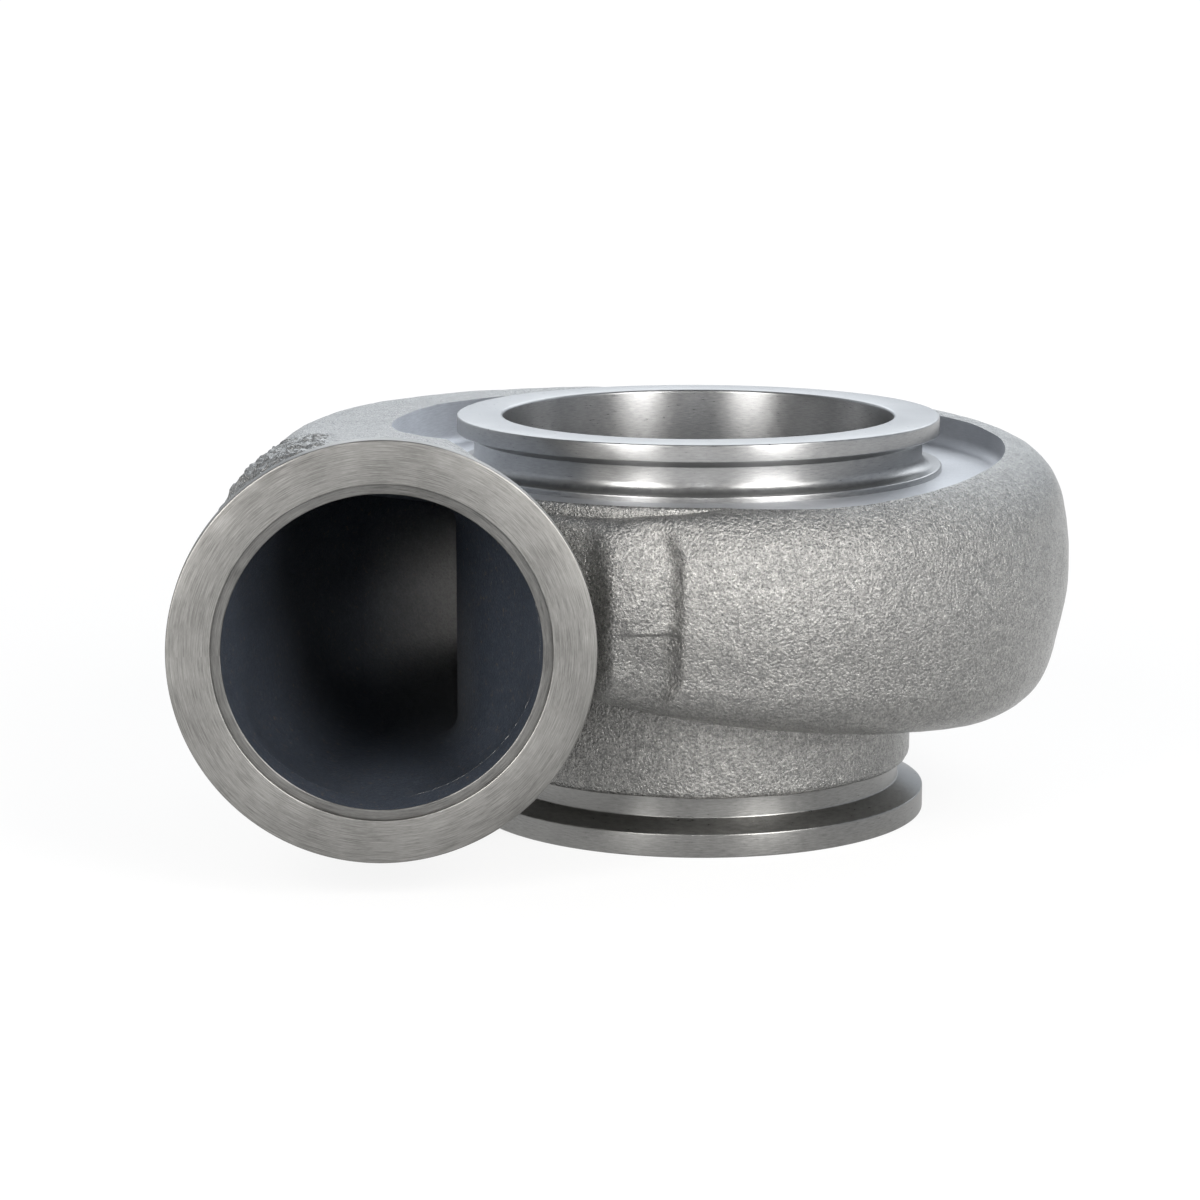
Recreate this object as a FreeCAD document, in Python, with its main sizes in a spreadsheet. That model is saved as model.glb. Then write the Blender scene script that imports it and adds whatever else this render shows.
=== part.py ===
import FreeCAD, Part
import math
import os

import Sketcher
from FreeCAD import Placement, Rotation, Vector

# Turbine housing with three V-band ends, in millimetres.
# The turbine axis is Z. The outlet end stands on Z = 0 and the bearing housing end is on top.
# The inlet axis runs along Y on the -X side, with its face towards -Y.
# The gas turns from the inlet round the back (+Y) and the right (+X) to the tongue at the front.
# A turn of 0 degrees is the -X direction, 90 is +Y, 180 is +X and 270 is -Y.

doc = FreeCAD.newDocument("turbine_housing")
sheet = doc.addObject("Spreadsheet::Sheet", "Sizes")

SIZES = {
    # heights of the outlet end, then up through the scroll to the bearing housing end
    "outlet_rim_height": 5.3,
    "outlet_machined_height": 12.3,
    "collar_gap": 1.2,
    "throat_rise": 6.9,
    "throat_width": 11.0,
    "end_wall_thickness": 8.5,
    "recess_depth": 12.5,
    "seat_lip": 5.0,
    "exducer_length": 17.8,
    "shroud_taper_length": 12.0,
    "diffuser_lip": 1.7,
    "collar_sink": 6.9,
    # V-band ends
    "vband_slope": 0.385,
    "edge_break": 0.4,
    "mouth_break": 0.7,
    "centre_bore_radius": 45.0,
    "centre_neck_wall": 6.6,
    "centre_vband_depth": 3.9,
    "centre_rim_height": 3.8,
    "centre_neck_flare": 2.4,
    "centre_step_width": 4.5,
    "centre_step_height": 1.4,
    "outlet_neck_wall": 9.0,
    "outlet_vband_depth": 5.9,
    "inlet_bore_radius": 33.2,
    "inlet_neck_wall": 7.2,
    "inlet_vband_depth": 4.1,
    "inlet_rim_height": 4.6,
    "inlet_machined_length": 11.0,
    "inlet_step_width": 2.1,
    "inlet_step_depth": 0.6,
    # place of the inlet: its axis outside the wheel space, its face in front of the turbine axis
    "inlet_span": 29.8,
    "inlet_face_reach": 83.5,
    # clamp recess round the bearing housing end
    "clamp_space": 15.0,
    "recess_cove": 2.5,
    "end_wall_margin": 6.9,
    "end_wall_edge": 0.8,
    # wheel space
    "seat_step": 1.0,
    "seat_lip_width": 5.5,
    "shroud_wall": 13.2,
    "diffuser_widening": 7.3,
    "core_overlap": 3.0,
    "nose_rounding": 3.0,
    "shroud_rounding": 8.0,
    "collar_step": 2.7,
    "collar_edge": 1.6,
    # cast wall, and the roof of the passage that rises away from the throat
    "wall": 5.6,
    "roof_rise": 0.1,
    "draft_down": 0.25,
    "draft_up": 0.17,
    "inner_rounding": 2.0,
    # scroll section at the start, after half a turn and at the end of the turn:
    # its span outside the wheel space, and its depth and rise from the parting plane
    "span_start": 58.8,
    "span_half": 44.0,
    "span_end": 13.3,
    "depth_start": 39.4,
    "depth_half": 31.6,
    "depth_end": 7.8,
    "rise_start": 36.6,
    "rise_half": 32.3,
    "rise_end": 19.1,
    "belly_rise_half": 2.1,
    "belly_rise_end": 9.1,
    "floor_rounding_start": 21.0,
    "floor_rounding_half": 18.0,
    "floor_rounding_end": 6.0,
    "shoulder_rounding_start": 14.0,
    "shoulder_rounding_half": 15.5,
    "shoulder_rounding_end": 8.0,
    "belly_rounding_start": 60.0,
    "belly_rounding_half": 60.0,
    "belly_rounding_end": 15.0,
    # inlet duct: lengths between its sections, from its flange back
    "duct_front_length": 22.5,
    "duct_middle_length": 25.0,
    "duct_rounding": 30.0,
    # inner side of the duct's passage, which wraps round the tail of the scroll to the tongue
    "tongue_bulge": 9.5,
    "tongue_root": 8.5,
    # cast pad at the end of the scroll
    "pad_left": 25.0,
    "pad_right": 12.6,
    "pad_inset": 3.62,
    "pad_depth": 6.0,
    "pad_drop": 17.4,
    "pad_rise": 22.6,
    "pad_shift": 0.8,
    "pad_edge": 1.8,
    # ground-off gate on top of the duct
    "gate_side": 14.7,
    "gate_reach": 29.0,
    "gate_length": 15.0,
    "gate_width": 9.0,
    "gate_height": 1.2,
    "gate_edge": 0.6,
}

for row, (alias, number) in enumerate(SIZES.items(), start=1):
    sheet.set(f"A{row}", alias)
    sheet.set(f"B{row}", str(number))
    sheet.setAlias(f"B{row}", alias)
doc.recompute()

LAST_TURN = 372
PAD_TURN = 285
REACH = 400.0


class Size:
    """A length together with the sheet expression that gives it."""

    def __init__(self, value, text):
        self.value = value
        self.text = text

    def joined(self, other, sign, value):
        return Size(value, f"({self.text} {sign} {as_size(other).text})")

    def __add__(self, other):
        return self.joined(other, "+", self.value + as_size(other).value)

    def __sub__(self, other):
        return self.joined(other, "-", self.value - as_size(other).value)

    def __mul__(self, other):
        return self.joined(other, "*", self.value * as_size(other).value)

    def __truediv__(self, other):
        return self.joined(other, "/", self.value / as_size(other).value)


def as_size(item):
    """A plain number as a Size; a Size stays as it is."""
    if isinstance(item, Size):
        return item
    return Size(float(item), f"{float(item):.6f}")


def size(alias):
    """The sheet's value of this name."""
    return Size(float(sheet.get(alias)), f"Sizes.{alias}")


# Sizes that follow from others, from the pilot bore out

centre_bore_radius = size("centre_bore_radius")
centre_neck_radius = centre_bore_radius + size("centre_neck_wall")
centre_rim_radius = centre_neck_radius + size("centre_vband_depth")
centre_step_radius = centre_neck_radius + size("centre_step_width")
recess_radius = centre_rim_radius + size("clamp_space")
end_wall_radius = centre_step_radius + size("end_wall_margin")
core_radius = centre_bore_radius - size("seat_step")
seat_radius = core_radius - size("seat_lip_width")
exducer_radius = core_radius - size("shroud_wall")
outlet_bore_radius = exducer_radius + size("diffuser_widening")
outlet_neck_radius = outlet_bore_radius + size("outlet_neck_wall")
outlet_collar_radius = outlet_neck_radius + size("collar_step")
inlet_bore_radius = size("inlet_bore_radius")
inlet_neck_radius = inlet_bore_radius + size("inlet_neck_wall")
inlet_step_radius = inlet_bore_radius + size("inlet_step_width")
inlet_offset = core_radius + size("inlet_span")
tongue_rear = core_radius + size("tongue_bulge")
tongue_radius = core_radius + size("tongue_root")

# Heights, from the outlet face up

outlet_machined_height = size("outlet_machined_height")
floor_start = outlet_machined_height + size("collar_gap")
parting = floor_start + size("depth_start")
throat_floor = parting + size("throat_rise")
throat_roof = throat_floor + size("throat_width")
wall_floor = throat_roof + size("end_wall_thickness")
total = wall_floor + size("recess_depth")
seat_height = throat_roof + size("seat_lip")
exducer_end = throat_floor - size("exducer_length")
shroud_base = exducer_end - size("shroud_taper_length")
diffuser_end = outlet_machined_height + size("diffuser_lip")
floor_end = parting - size("depth_end")
outlet_collar_top = floor_end + size("collar_sink")

SCROLL = {
    "side": [core_radius + size(f"span_{place}") for place in ("start", "half", "end")],
    "floor": [floor_start, parting - size("depth_half"), floor_end],
    "top": [parting + size(f"rise_{place}") for place in ("start", "half", "end")],
    "belly": [parting, parting + size("belly_rise_half"), parting + size("belly_rise_end")],
    "floor_rounding": [size(f"floor_rounding_{place}") for place in ("start", "half", "end")],
    "shoulder_rounding": [size(f"shoulder_rounding_{place}") for place in ("start", "half", "end")],
    "belly_rounding": [size(f"belly_rounding_{place}") for place in ("start", "half", "end")],
}


def along(name, turn):
    """A scroll size at this turn: the parabola through its start, half-turn and end values."""
    start, half, end = SCROLL[name]
    share = turn / 360.0
    first = start * (1 - 3 * share + 2 * share ** 2)
    middle = half * (4 * share - 4 * share ** 2)
    last = end * (2 * share ** 2 - share)
    return first + middle + last


pad_face = along("side", PAD_TURN) - size("pad_inset")
pad_low = parting - size("pad_drop")
pad_high = parting + size("pad_rise")


def new_body(name):
    body = doc.addObject("PartDesign::Body", name)
    body.Label = name
    return body


def origin_item(body, role):
    """The body's own origin plane or axis with this role."""
    return next(item for item in body.Origin.OriginFeatures if item.Role == role)


def new_sketch(body, name, role="XZ_Plane"):
    sketch = body.newObject("Sketcher::SketchObject", name)
    sketch.AttachmentSupport = (origin_item(body, role), [""])
    sketch.MapMode = "FlatFace"
    return sketch


def corner_arc(before, corner, after, radius):
    """Where a rounding of this radius starts and ends at a corner, and its centre."""
    back = (before - corner).normalize()
    ahead = (after - corner).normalize()
    half_angle = math.acos(max(-1.0, min(1.0, back.dot(ahead)))) / 2
    run = radius / math.tan(half_angle)
    middle = (back + ahead).normalize() * (radius / math.sin(half_angle))
    return corner + back * run, corner + ahead * run, corner + middle


def bind(sketch, kind, parts, length, name):
    """Add a dimension to the sketch and tie it to the sheet."""
    sketch.addConstraint(Sketcher.Constraint(kind, *parts, length.value))
    sketch.renameConstraint(sketch.ConstraintCount - 1, name)
    sketch.setExpression(f"Constraints.{name}", length.text)


def outline(sketch, corners):
    """Draw a closed outline through corners of (across, up, rounding or None), all dimensioned."""
    points = [Vector(as_size(c[0]).value, as_size(c[1]).value, 0) for c in corners]
    count = len(corners)
    entries, exits, arcs = [], [], []
    for i, (across, up, rounding) in enumerate(corners):
        if rounding is None:
            entries.append(points[i])
            exits.append(points[i])
            arcs.append(None)
            continue
        first, last, centre = corner_arc(points[i - 1], points[i], points[(i + 1) % count], rounding.value)
        entries.append(first)
        exits.append(last)
        turning = (points[i] - points[i - 1]).cross(points[(i + 1) % count] - points[i]).z
        ends = (first, last) if turning > 0 else (last, first)
        angles = [math.atan2(p.y - centre.y, p.x - centre.x) for p in ends]
        circle = Part.Circle(centre, Vector(0, 0, 1), rounding.value)
        arcs.append((Part.ArcOfCircle(circle, angles[0], angles[1]), turning > 0))
    lines = [
        sketch.addGeometry(Part.LineSegment(exits[i], entries[(i + 1) % count]), False)
        for i in range(count)
    ]
    for i, (across, up, rounding) in enumerate(corners):
        incoming, outgoing = lines[i - 1], lines[i]
        if rounding is None:
            sketch.addConstraint(Sketcher.Constraint("Coincident", incoming, 2, outgoing, 1))
            holder = (outgoing, 1)
        else:
            geometry, forward = arcs[i]
            arc = sketch.addGeometry(geometry, False)
            start, finish = (1, 2) if forward else (2, 1)
            mark = sketch.addGeometry(Part.Point(points[i]), True)
            sketch.addConstraint(Sketcher.Constraint("Tangent", incoming, 2, arc, start))
            sketch.addConstraint(Sketcher.Constraint("Tangent", arc, finish, outgoing, 1))
            sketch.addConstraint(Sketcher.Constraint("PointOnObject", mark, 1, incoming))
            sketch.addConstraint(Sketcher.Constraint("PointOnObject", mark, 1, outgoing))
            bind(sketch, "Radius", (arc,), rounding, f"rounding_{i}")
            holder = (mark, 1)
        bind(sketch, "DistanceX", (-1, 1) + holder, as_size(across), f"across_{i}")
        bind(sketch, "DistanceY", (-1, 1) + holder, as_size(up), f"up_{i}")


def turned(name, corners):
    """A body turned about its own Z axis from an outline of (radius, height, rounding) corners."""
    body = new_body(name)
    sketch = new_sketch(body, f"{name}_profile")
    outline(sketch, corners)
    feature = body.newObject("PartDesign::Revolution", f"{name}_turned")
    feature.Profile = sketch
    feature.ReferenceAxis = (sketch, ["V_Axis"])
    feature.Angle = 360
    return body


def at_turn(sketch, turn):
    """Stand the sketch in the half-plane of the turbine axis at this turn."""
    sketch.AttachmentOffset = Placement(Vector(0, 0, 0), Rotation(Vector(0, 1, 0), 180 - turn))


def at_duct(sketch, reach):
    """Stand the sketch square across the inlet duct, this far in front of the turbine axis."""
    sketch.AttachmentOffset = Placement(Vector(0, 0, reach.value), Rotation(Vector(0, 1, 0), 180))
    sketch.setExpression("AttachmentOffset.Base.z", reach.text)


def ring_section(sketch, radius):
    """A circle about the inlet axis in ten pieces that match those of a scroll section."""
    centre = Vector(inlet_offset.value, parting.value, 0)
    marks = [260, 280, 325, 350, 10, 35, 80, 100, 160, 200]
    circle = Part.Circle(centre, Vector(0, 0, 1), radius.value)
    count = len(marks)
    arcs = {}
    for i in list(range(0, count, 2)) + list(range(1, count, 2)):
        piece = Part.ArcOfCircle(circle, math.radians(marks[i]), math.radians(marks[(i + 1) % count]))
        arcs[i] = sketch.addGeometry(piece, False)
    for i, arc in arcs.items():
        sketch.addConstraint(Sketcher.Constraint("Coincident", arc, 2, arcs[(i + 1) % count], 1))
        if i:
            sketch.addConstraint(Sketcher.Constraint("Equal", arcs[0], arc))
        angle = math.radians(marks[i])
        across = inlet_offset + radius * math.cos(angle)
        up = parting + radius * math.sin(angle)
        bind(sketch, "DistanceX", (-1, 1, arc, 1), across, f"across_{i}")
        bind(sketch, "DistanceY", (-1, 1, arc, 1), up, f"up_{i}")
    bind(sketch, "Radius", (arcs[0],), radius, "ring_radius")


def pentagon(inner, side, floor, roof_inner, roof_outer, belly, roundings):
    """The five rounded corners of a scroll section: flat inner side, drafted and bowed outer side."""
    inner_rounding, floor_rounding, belly_rounding, shoulder_rounding = roundings
    low_side = side - (belly - floor) * size("draft_down")
    high_side = side - (roof_outer - belly) * size("draft_up")
    return [
        (inner, floor, inner_rounding),
        (low_side, floor, floor_rounding),
        (side, belly, belly_rounding),
        (high_side, roof_outer, shoulder_rounding),
        (inner, roof_inner, inner_rounding),
    ]


def outer_corners(turn):
    """Outside of the casting at this turn."""
    roundings = (
        size("inner_rounding"),
        along("floor_rounding", turn),
        along("belly_rounding", turn),
        along("shoulder_rounding", turn),
    )
    top = along("top", turn)
    inner = core_radius - size("core_overlap")
    return pentagon(inner, along("side", turn), along("floor", turn), top, top, along("belly", turn), roundings)


def passage_corners(turn, inner):
    """Gas passage at this turn, one wall inside the casting, with its roof level with the throat."""
    wall = size("wall")
    roundings = (
        size("inner_rounding"),
        along("floor_rounding", turn) - wall * 0.6,
        along("belly_rounding", turn) * 0.5,
        along("shoulder_rounding", turn) - wall,
    )
    side = along("side", turn) - wall
    roof = throat_roof
    roof_outer = roof + (side - core_radius) * size("roof_rise")
    return pentagon(inner, side, along("floor", turn) + wall, roof, roof_outer, along("belly", turn), roundings)


def blend(start, end, share):
    """The size this share of the way from one size to another."""
    return start + (end - start) * share


def duct_corners(reach, ring, corners, inner):
    """Section of the duct, between the scroll's first section and a ring at the inlet flange."""
    share = reach / duct_end
    offset = inlet_offset
    axis = parting
    rounding = size("duct_rounding") - (inlet_neck_radius - ring)
    goals = [
        (offset - ring, axis - ring),
        (offset + ring, axis - ring),
        (offset + ring, axis),
        (offset + ring, axis + ring),
        (offset - ring, axis + ring),
    ]
    placed = []
    for (across, up, corner_rounding), (goal_across, goal_up) in zip(corners, goals):
        placed.append(
            (blend(across, goal_across, share), blend(up, goal_up, share),
             blend(corner_rounding, rounding, share))
        )
    if inner is not None:
        placed[0] = (inner,) + placed[0][1:]
        placed[4] = (inner,) + placed[4][1:]
    return placed


def lofted(name, sections):
    """A body lofted through sections, each a function that fills and places its sketch."""
    body = new_body(name)
    sketches = []
    for number, (fill, place) in enumerate(sections):
        sketch = new_sketch(body, f"{name}_section_{number}")
        place(sketch)
        fill(sketch)
        sketches.append(sketch)
    doc.recompute()
    feature = body.newObject("PartDesign::AdditiveLoft", f"{name}_loft")
    feature.Profile = sketches[0]
    feature.Sections = sketches[1:]
    feature.Ruled = False
    return body


def turn_section(corners, turn):
    return (lambda sketch: outline(sketch, corners), lambda sketch: at_turn(sketch, turn))


def duct_section(corners, reach):
    return (lambda sketch: outline(sketch, corners), lambda sketch: at_duct(sketch, reach))


def ring_at(radius, reach):
    return (lambda sketch: ring_section(sketch, radius), lambda sketch: at_duct(sketch, reach))


def boolean(kind, name, base, tool):
    item = doc.addObject(f"Part::{kind}", name)
    item.Base = base
    item.Tool = tool
    item.Label = name
    return item


def union(name, members):
    item = doc.addObject("Part::MultiFuse", name)
    item.Shapes = members
    item.Label = name
    return item


def block(name, lows, highs):
    """A box between two corners, each given as three Sizes."""
    item = doc.addObject("Part::Box", name)
    for axis, low, high in zip("xyz", lows, highs):
        item.setExpression(f"Placement.Base.{axis}", low.text)
    for edge, low, high in zip(("Length", "Width", "Height"), lows, highs):
        item.setExpression(edge, (high - low).text)
    return item


far = as_size(REACH)
near = as_size(-REACH)
zero = as_size(0)

# Centre flange, turned

centre_rim_base = total - size("centre_rim_height")
centre_taper = size("centre_vband_depth") * size("vband_slope")
centre_groove_top = centre_rim_base - centre_taper

centre_rim = turned(
    "centre_flange_rim",
    [
        (centre_bore_radius, centre_groove_top, None),
        (centre_neck_radius, centre_groove_top, None),
        (centre_rim_radius, centre_rim_base, size("edge_break")),
        (centre_rim_radius, total, size("edge_break")),
        (centre_bore_radius, total, size("mouth_break")),
    ],
)
centre_step_top = wall_floor + size("centre_step_height")
centre_neck = turned(
    "centre_flange_neck",
    [
        (centre_bore_radius, wall_floor, None),
        (centre_step_radius, wall_floor, None),
        (centre_step_radius, centre_step_top, size("edge_break")),
        (centre_neck_radius, centre_step_top, size("centre_neck_flare")),
        (centre_neck_radius, centre_groove_top, None),
        (centre_bore_radius, centre_groove_top, None),
    ],
)

# Wall that carries the centre flange, with the pilot bore's seat and the throat's upper lip

end_wall_blank = turned(
    "end_wall_blank",
    [
        (seat_radius, throat_roof, size("mouth_break")),
        (end_wall_radius, throat_roof, None),
        (end_wall_radius, wall_floor, size("end_wall_edge")),
        (centre_bore_radius, wall_floor, None),
        (centre_bore_radius, seat_height, None),
        (seat_radius, seat_height, size("mouth_break")),
    ],
)

# Shroud that the turbine wheel runs in, and the throat's lower lip

wheel_shroud = turned(
    "wheel_shroud",
    [
        (core_radius, shroud_base, None),
        (core_radius, throat_floor, size("nose_rounding")),
        (exducer_radius, throat_floor, size("shroud_rounding")),
        (exducer_radius, exducer_end, None),
        (exducer_radius + (outlet_bore_radius - exducer_radius) * 0.4,
         shroud_base, None),
    ],
)

# Outlet collar and its V-band end

collar_blank = turned(
    "collar_blank",
    [
        (outlet_bore_radius, outlet_machined_height, None),
        (outlet_collar_radius, outlet_machined_height, size("collar_edge")),
        (outlet_collar_radius, outlet_collar_top, None),
        (core_radius, outlet_collar_top, None),
        (core_radius, shroud_base, None),
        (exducer_radius + (outlet_bore_radius - exducer_radius) * 0.4,
         shroud_base, None),
        (outlet_bore_radius, diffuser_end, None),
    ],
)


def vband_end(prefix, bore, machined):
    """Rim and neck of a V-band end whose face lies at its own Z = 0."""
    neck_radius = bore + size(f"{prefix}_neck_wall")
    rim_radius = neck_radius + size(f"{prefix}_vband_depth")
    rim_height = size(f"{prefix}_rim_height")
    groove = rim_height + size(f"{prefix}_vband_depth") * size("vband_slope")
    face = [(bore, zero, size("mouth_break"))]
    if prefix == "inlet":
        step_depth = size("inlet_step_depth")
        face = [(bore, step_depth, None), (inlet_step_radius, step_depth, None),
                (inlet_step_radius, zero, None)]
    rim = turned(
        f"{prefix}_flange_rim",
        face + [
            (rim_radius, zero, size("edge_break")),
            (rim_radius, rim_height, size("edge_break")),
            (neck_radius, groove, None),
            (bore, groove, None),
        ],
    )
    neck = turned(
        f"{prefix}_flange_neck",
        [
            (bore, groove, None),
            (neck_radius, groove, None),
            (neck_radius, machined, None),
            (bore, machined, None),
        ],
    )
    return [rim, neck]


outlet_parts = vband_end("outlet", outlet_bore_radius, outlet_machined_height)
inlet_parts = vband_end("inlet", inlet_bore_radius, size("inlet_machined_length"))
for item in inlet_parts:
    item.Placement = Placement(Vector(0, 0, 0), Rotation(Vector(1, 0, 0), -90))
    item.setExpression("Placement.Base.x", (zero - inlet_offset).text)
    item.setExpression("Placement.Base.y", (zero - size("inlet_face_reach")).text)
    item.setExpression("Placement.Base.z", parting.text)

# Cast scroll: the outside and the passage are each lofted in two lengths that share one section.
# The first length runs from the inlet over the back, the second one from there to the tongue.

duct_end = size("inlet_face_reach") - size("inlet_machined_length")
front_station = duct_end - size("duct_front_length")
rear_station = front_station - size("duct_middle_length")
outer_ring = inlet_neck_radius
passage_ring = inlet_bore_radius
hidden = core_radius - size("core_overlap") * 2
first_outside = outer_corners(0)
first_passage = passage_corners(0, tongue_radius)

inlet_outside = lofted(
    "inlet_outside",
    [
        ring_at(outer_ring, duct_end),
        duct_section(duct_corners(front_station, outer_ring, first_outside, None), front_station),
        duct_section(duct_corners(rear_station, outer_ring, first_outside, None), rear_station),
    ]
    + [turn_section(outer_corners(turn), turn) for turn in (0, 30, 60, 90, 120, 150, 180, 205)],
)
tail_outside = lofted(
    "tail_outside",
    [turn_section(outer_corners(turn), turn) for turn in (155, 180, 210, 240, 270, 300, 330, 358)],
)
inlet_passage = lofted(
    "inlet_passage",
    [
        ring_at(passage_ring, duct_end),
        duct_section(
            duct_corners(front_station, passage_ring, first_passage, core_radius), front_station
        ),
        duct_section(duct_corners(rear_station, passage_ring, first_passage, tongue_rear), rear_station),
        turn_section(first_passage, 0),
    ]
    + [turn_section(passage_corners(turn, hidden), turn) for turn in (12, 30, 60, 90, 120, 150, 180, 205)],
)
tail_passage = lofted(
    "tail_passage",
    [
        turn_section(passage_corners(turn, hidden), turn)
        for turn in (155, 180, 210, 240, 270, 300, 330, 352, LAST_TURN)
    ],
)

# Tools that open the castings

recess_tool = turned(
    "recess_tool",
    [
        (zero, wall_floor, None),
        (recess_radius, wall_floor, size("recess_cove")),
        (recess_radius, total + far, None),
        (zero, total + far, None),
    ],
)
core_tool = turned(
    "core_tool",
    [
        (zero, zero, None),
        (core_radius, zero, None),
        (core_radius, seat_height, None),
        (centre_bore_radius, seat_height, None),
        (centre_bore_radius, total, None),
        (zero, total, None),
    ],
)
pad_tool = block(
    "pad_tool",
    (zero - size("pad_left"), zero - pad_face - far, zero),
    (zero - size("pad_right"), zero - pad_face + size("pad_shift") + size("pad_shift"), total),
)

# The two lengths overlap a little on the right, so each is trimmed there at the turbine axis.

rear_right = block("rear_right", (zero, zero, near), (far, far, far))
front_right = block("front_right", (zero, near, near), (far, zero, far))
inlet_body = boolean("Cut", "inlet_body", inlet_outside, front_right)
inlet_bore = boolean("Cut", "inlet_bore", inlet_passage, front_right)
tail_body = boolean("Cut", "tail_body", tail_outside, rear_right)
tail_bore = boolean("Cut", "tail_bore", tail_passage, rear_right)

machining = union("machining", [recess_tool, core_tool, end_wall_blank])
bores = union("bores", [inlet_bore, tail_bore])
end_wall = boolean("Cut", "bearing_end_wall", end_wall_blank, bores)
collar_over_duct = boolean("Cut", "collar_over_duct", collar_blank, inlet_body)
outlet_collar = boolean("Cut", "outlet_neck", collar_over_duct, tail_body)

# The cast shells, cut out of the lofts region by region


def region(name, cast, x_range, y_range, z_range):
    """The part of a casting that lies inside a box."""
    lows = (x_range[0], y_range[0], z_range[0])
    highs = (x_range[1], y_range[1], z_range[1])
    return boolean("Common", name, cast, block(f"{name}_box", lows, highs))


def opened(name, solid):
    """A cast solid with the passages and the machined spaces taken out of it."""
    machined = boolean("Cut", f"{name}_machined", solid, machining)
    return boolean("Cut", name, machined, bores)


inlet_cast = opened("inlet_cast", inlet_body)
tail_backing = boolean("Cut", "tail_backing", tail_body, pad_tool)
tail_cast = opened("tail_cast", tail_backing)
tail_limit = zero - core_radius * 0.45
tongue_zone = block(
    "tongue_zone",
    (zero - tongue_radius - size("wall") * 1.5, zero - rear_station - size("nose_rounding"), parting),
    (tail_limit, size("wall"), throat_roof),
)
shells = []
for level, span in (("upper", (parting, far)), ("lower", (near, parting))):
    duct_side = region(f"duct_side_{level}", inlet_cast, (near, zero), (near, zero), span)
    duct_shell = boolean("Cut", f"duct_shell_{level}", duct_side, tail_body)
    rear_shell = region(f"rear_side_{level}", inlet_cast, (near, far), (zero, far), span)
    shells.append(boolean("Cut", f"volute_{level}_rear", rear_shell, tongue_zone))
    shells.append(region(f"volute_{level}_front", tail_cast, (tail_limit, far), (near, zero), span))
    shells.append(boolean("Cut", f"inlet_duct_{level}", duct_shell, tongue_zone))
tongue_tail = region("tongue_tail", tail_cast, (near, tail_limit), (near, zero), (near, far))
tongue_side = boolean("Common", "tongue_side", inlet_cast, tongue_zone)
tongue = union("scroll_tongue", [tongue_tail, tongue_side])

# Cast pad at the end of the scroll: its lower half sits back at the parting plane


def pad(name, low, high, setback):
    """One half of the pad, with its vertical edges rounded, fitted to the scroll behind it."""
    body = new_body(f"{name}_blank")
    sketch = new_sketch(body, f"{name}_plan", "XY_Plane")
    face = zero - pad_face + setback
    edge = size("pad_edge")
    outline(
        sketch,
        [
            (zero - size("pad_left"), face, edge),
            (zero - size("pad_right"), face, None),
            (zero - size("pad_right"), face + size("pad_depth"), None),
            (zero - size("pad_left"), face + size("pad_depth"), None),
        ],
    )
    sketch.setExpression("AttachmentOffset.Base.z", low.text)
    feature = body.newObject("PartDesign::Pad", f"{name}_pad")
    feature.Profile = sketch
    feature.setExpression("Length", (high - low).text)
    return body


pads = []
for level, low, high, setback in (
    ("upper", parting, pad_high, zero),
    ("lower", pad_low, parting, size("pad_shift")),
):
    blank = pad(f"tongue_pad_{level}", low, high, setback)
    pads.append(boolean("Cut", f"tongue_pad_{level}", blank, tail_backing))

# Ground-off gate on top of the duct

gate_body = new_body("gate_blank")
gate_plan = new_sketch(gate_body, "gate_plan", "XY_Plane")
half_length = size("gate_length") * 0.5
half_width = size("gate_width") * 0.5
gate_x = zero - inlet_offset - size("gate_side")
gate_y = zero - size("gate_reach")
outline(
    gate_plan,
    [
        (gate_x - half_length, gate_y - half_width, size("gate_edge")),
        (gate_x + half_length, gate_y - half_width * 0.6, size("gate_edge")),
        (gate_x + half_length * 0.8, gate_y + half_width, size("gate_edge")),
        (gate_x - half_length * 0.7, gate_y + half_width * 0.8, size("gate_edge")),
    ],
)
duct_top = blend(SCROLL["top"][0], parting + outer_ring, size("gate_reach") / duct_end)
gate_plan.setExpression("AttachmentOffset.Base.z", (duct_top - size("wall")).text)
gate_pad = gate_body.newObject("PartDesign::Pad", "gate_pad")
gate_pad.Profile = gate_plan
gate_pad.setExpression("Length", (size("wall") + size("gate_height")).text)
gate = boolean("Cut", "gate_stub", gate_body, inlet_outside)

doc.recompute()

nodes = [centre_rim, centre_neck, end_wall, wheel_shroud, outlet_collar]
nodes += outlet_parts + inlet_parts + shells + [tongue] + pads + [gate]

for item in doc.Objects:
    if "Invalid" in item.State or "Error" in item.State:
        raise RuntimeError(f"{item.Name}: {item.State}")

os.makedirs("parts", exist_ok=True)
for item in nodes:
    shape = item.Shape
    if shape.isNull() or not shape.isValid() or not shape.Solids:
        raise RuntimeError(f"{item.Label} has no valid solid")
    shape.exportStep(f"parts/{item.Label}.step")
    box = shape.BoundBox
    print(
        f"{item.Label:22s} solids {len(shape.Solids)} volume {shape.Volume:10.1f}"
        f" x {box.XMin:7.1f} {box.XMax:7.1f} y {box.YMin:7.1f} {box.YMax:7.1f} z {box.ZMin:6.1f} {box.ZMax:6.1f}"
    )
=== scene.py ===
"""Looks of a cast turbine housing with three V-band ends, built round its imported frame.

Sizes in the classes are millimetres, as on the drawing, and turn into metres when a mesh is made.
The turbine axis is Z. The inlet lies on the -X side and its face looks towards -Y. A turn of 0
degrees is the -X direction, 90 is +Y, 180 is +X and 270 is -Y.
"""

import logging
import math
from dataclasses import dataclass, field, replace
from enum import Enum
from typing import Optional, Sequence

import bmesh
import bpy
import numpy as np
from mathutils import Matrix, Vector, noise


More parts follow.
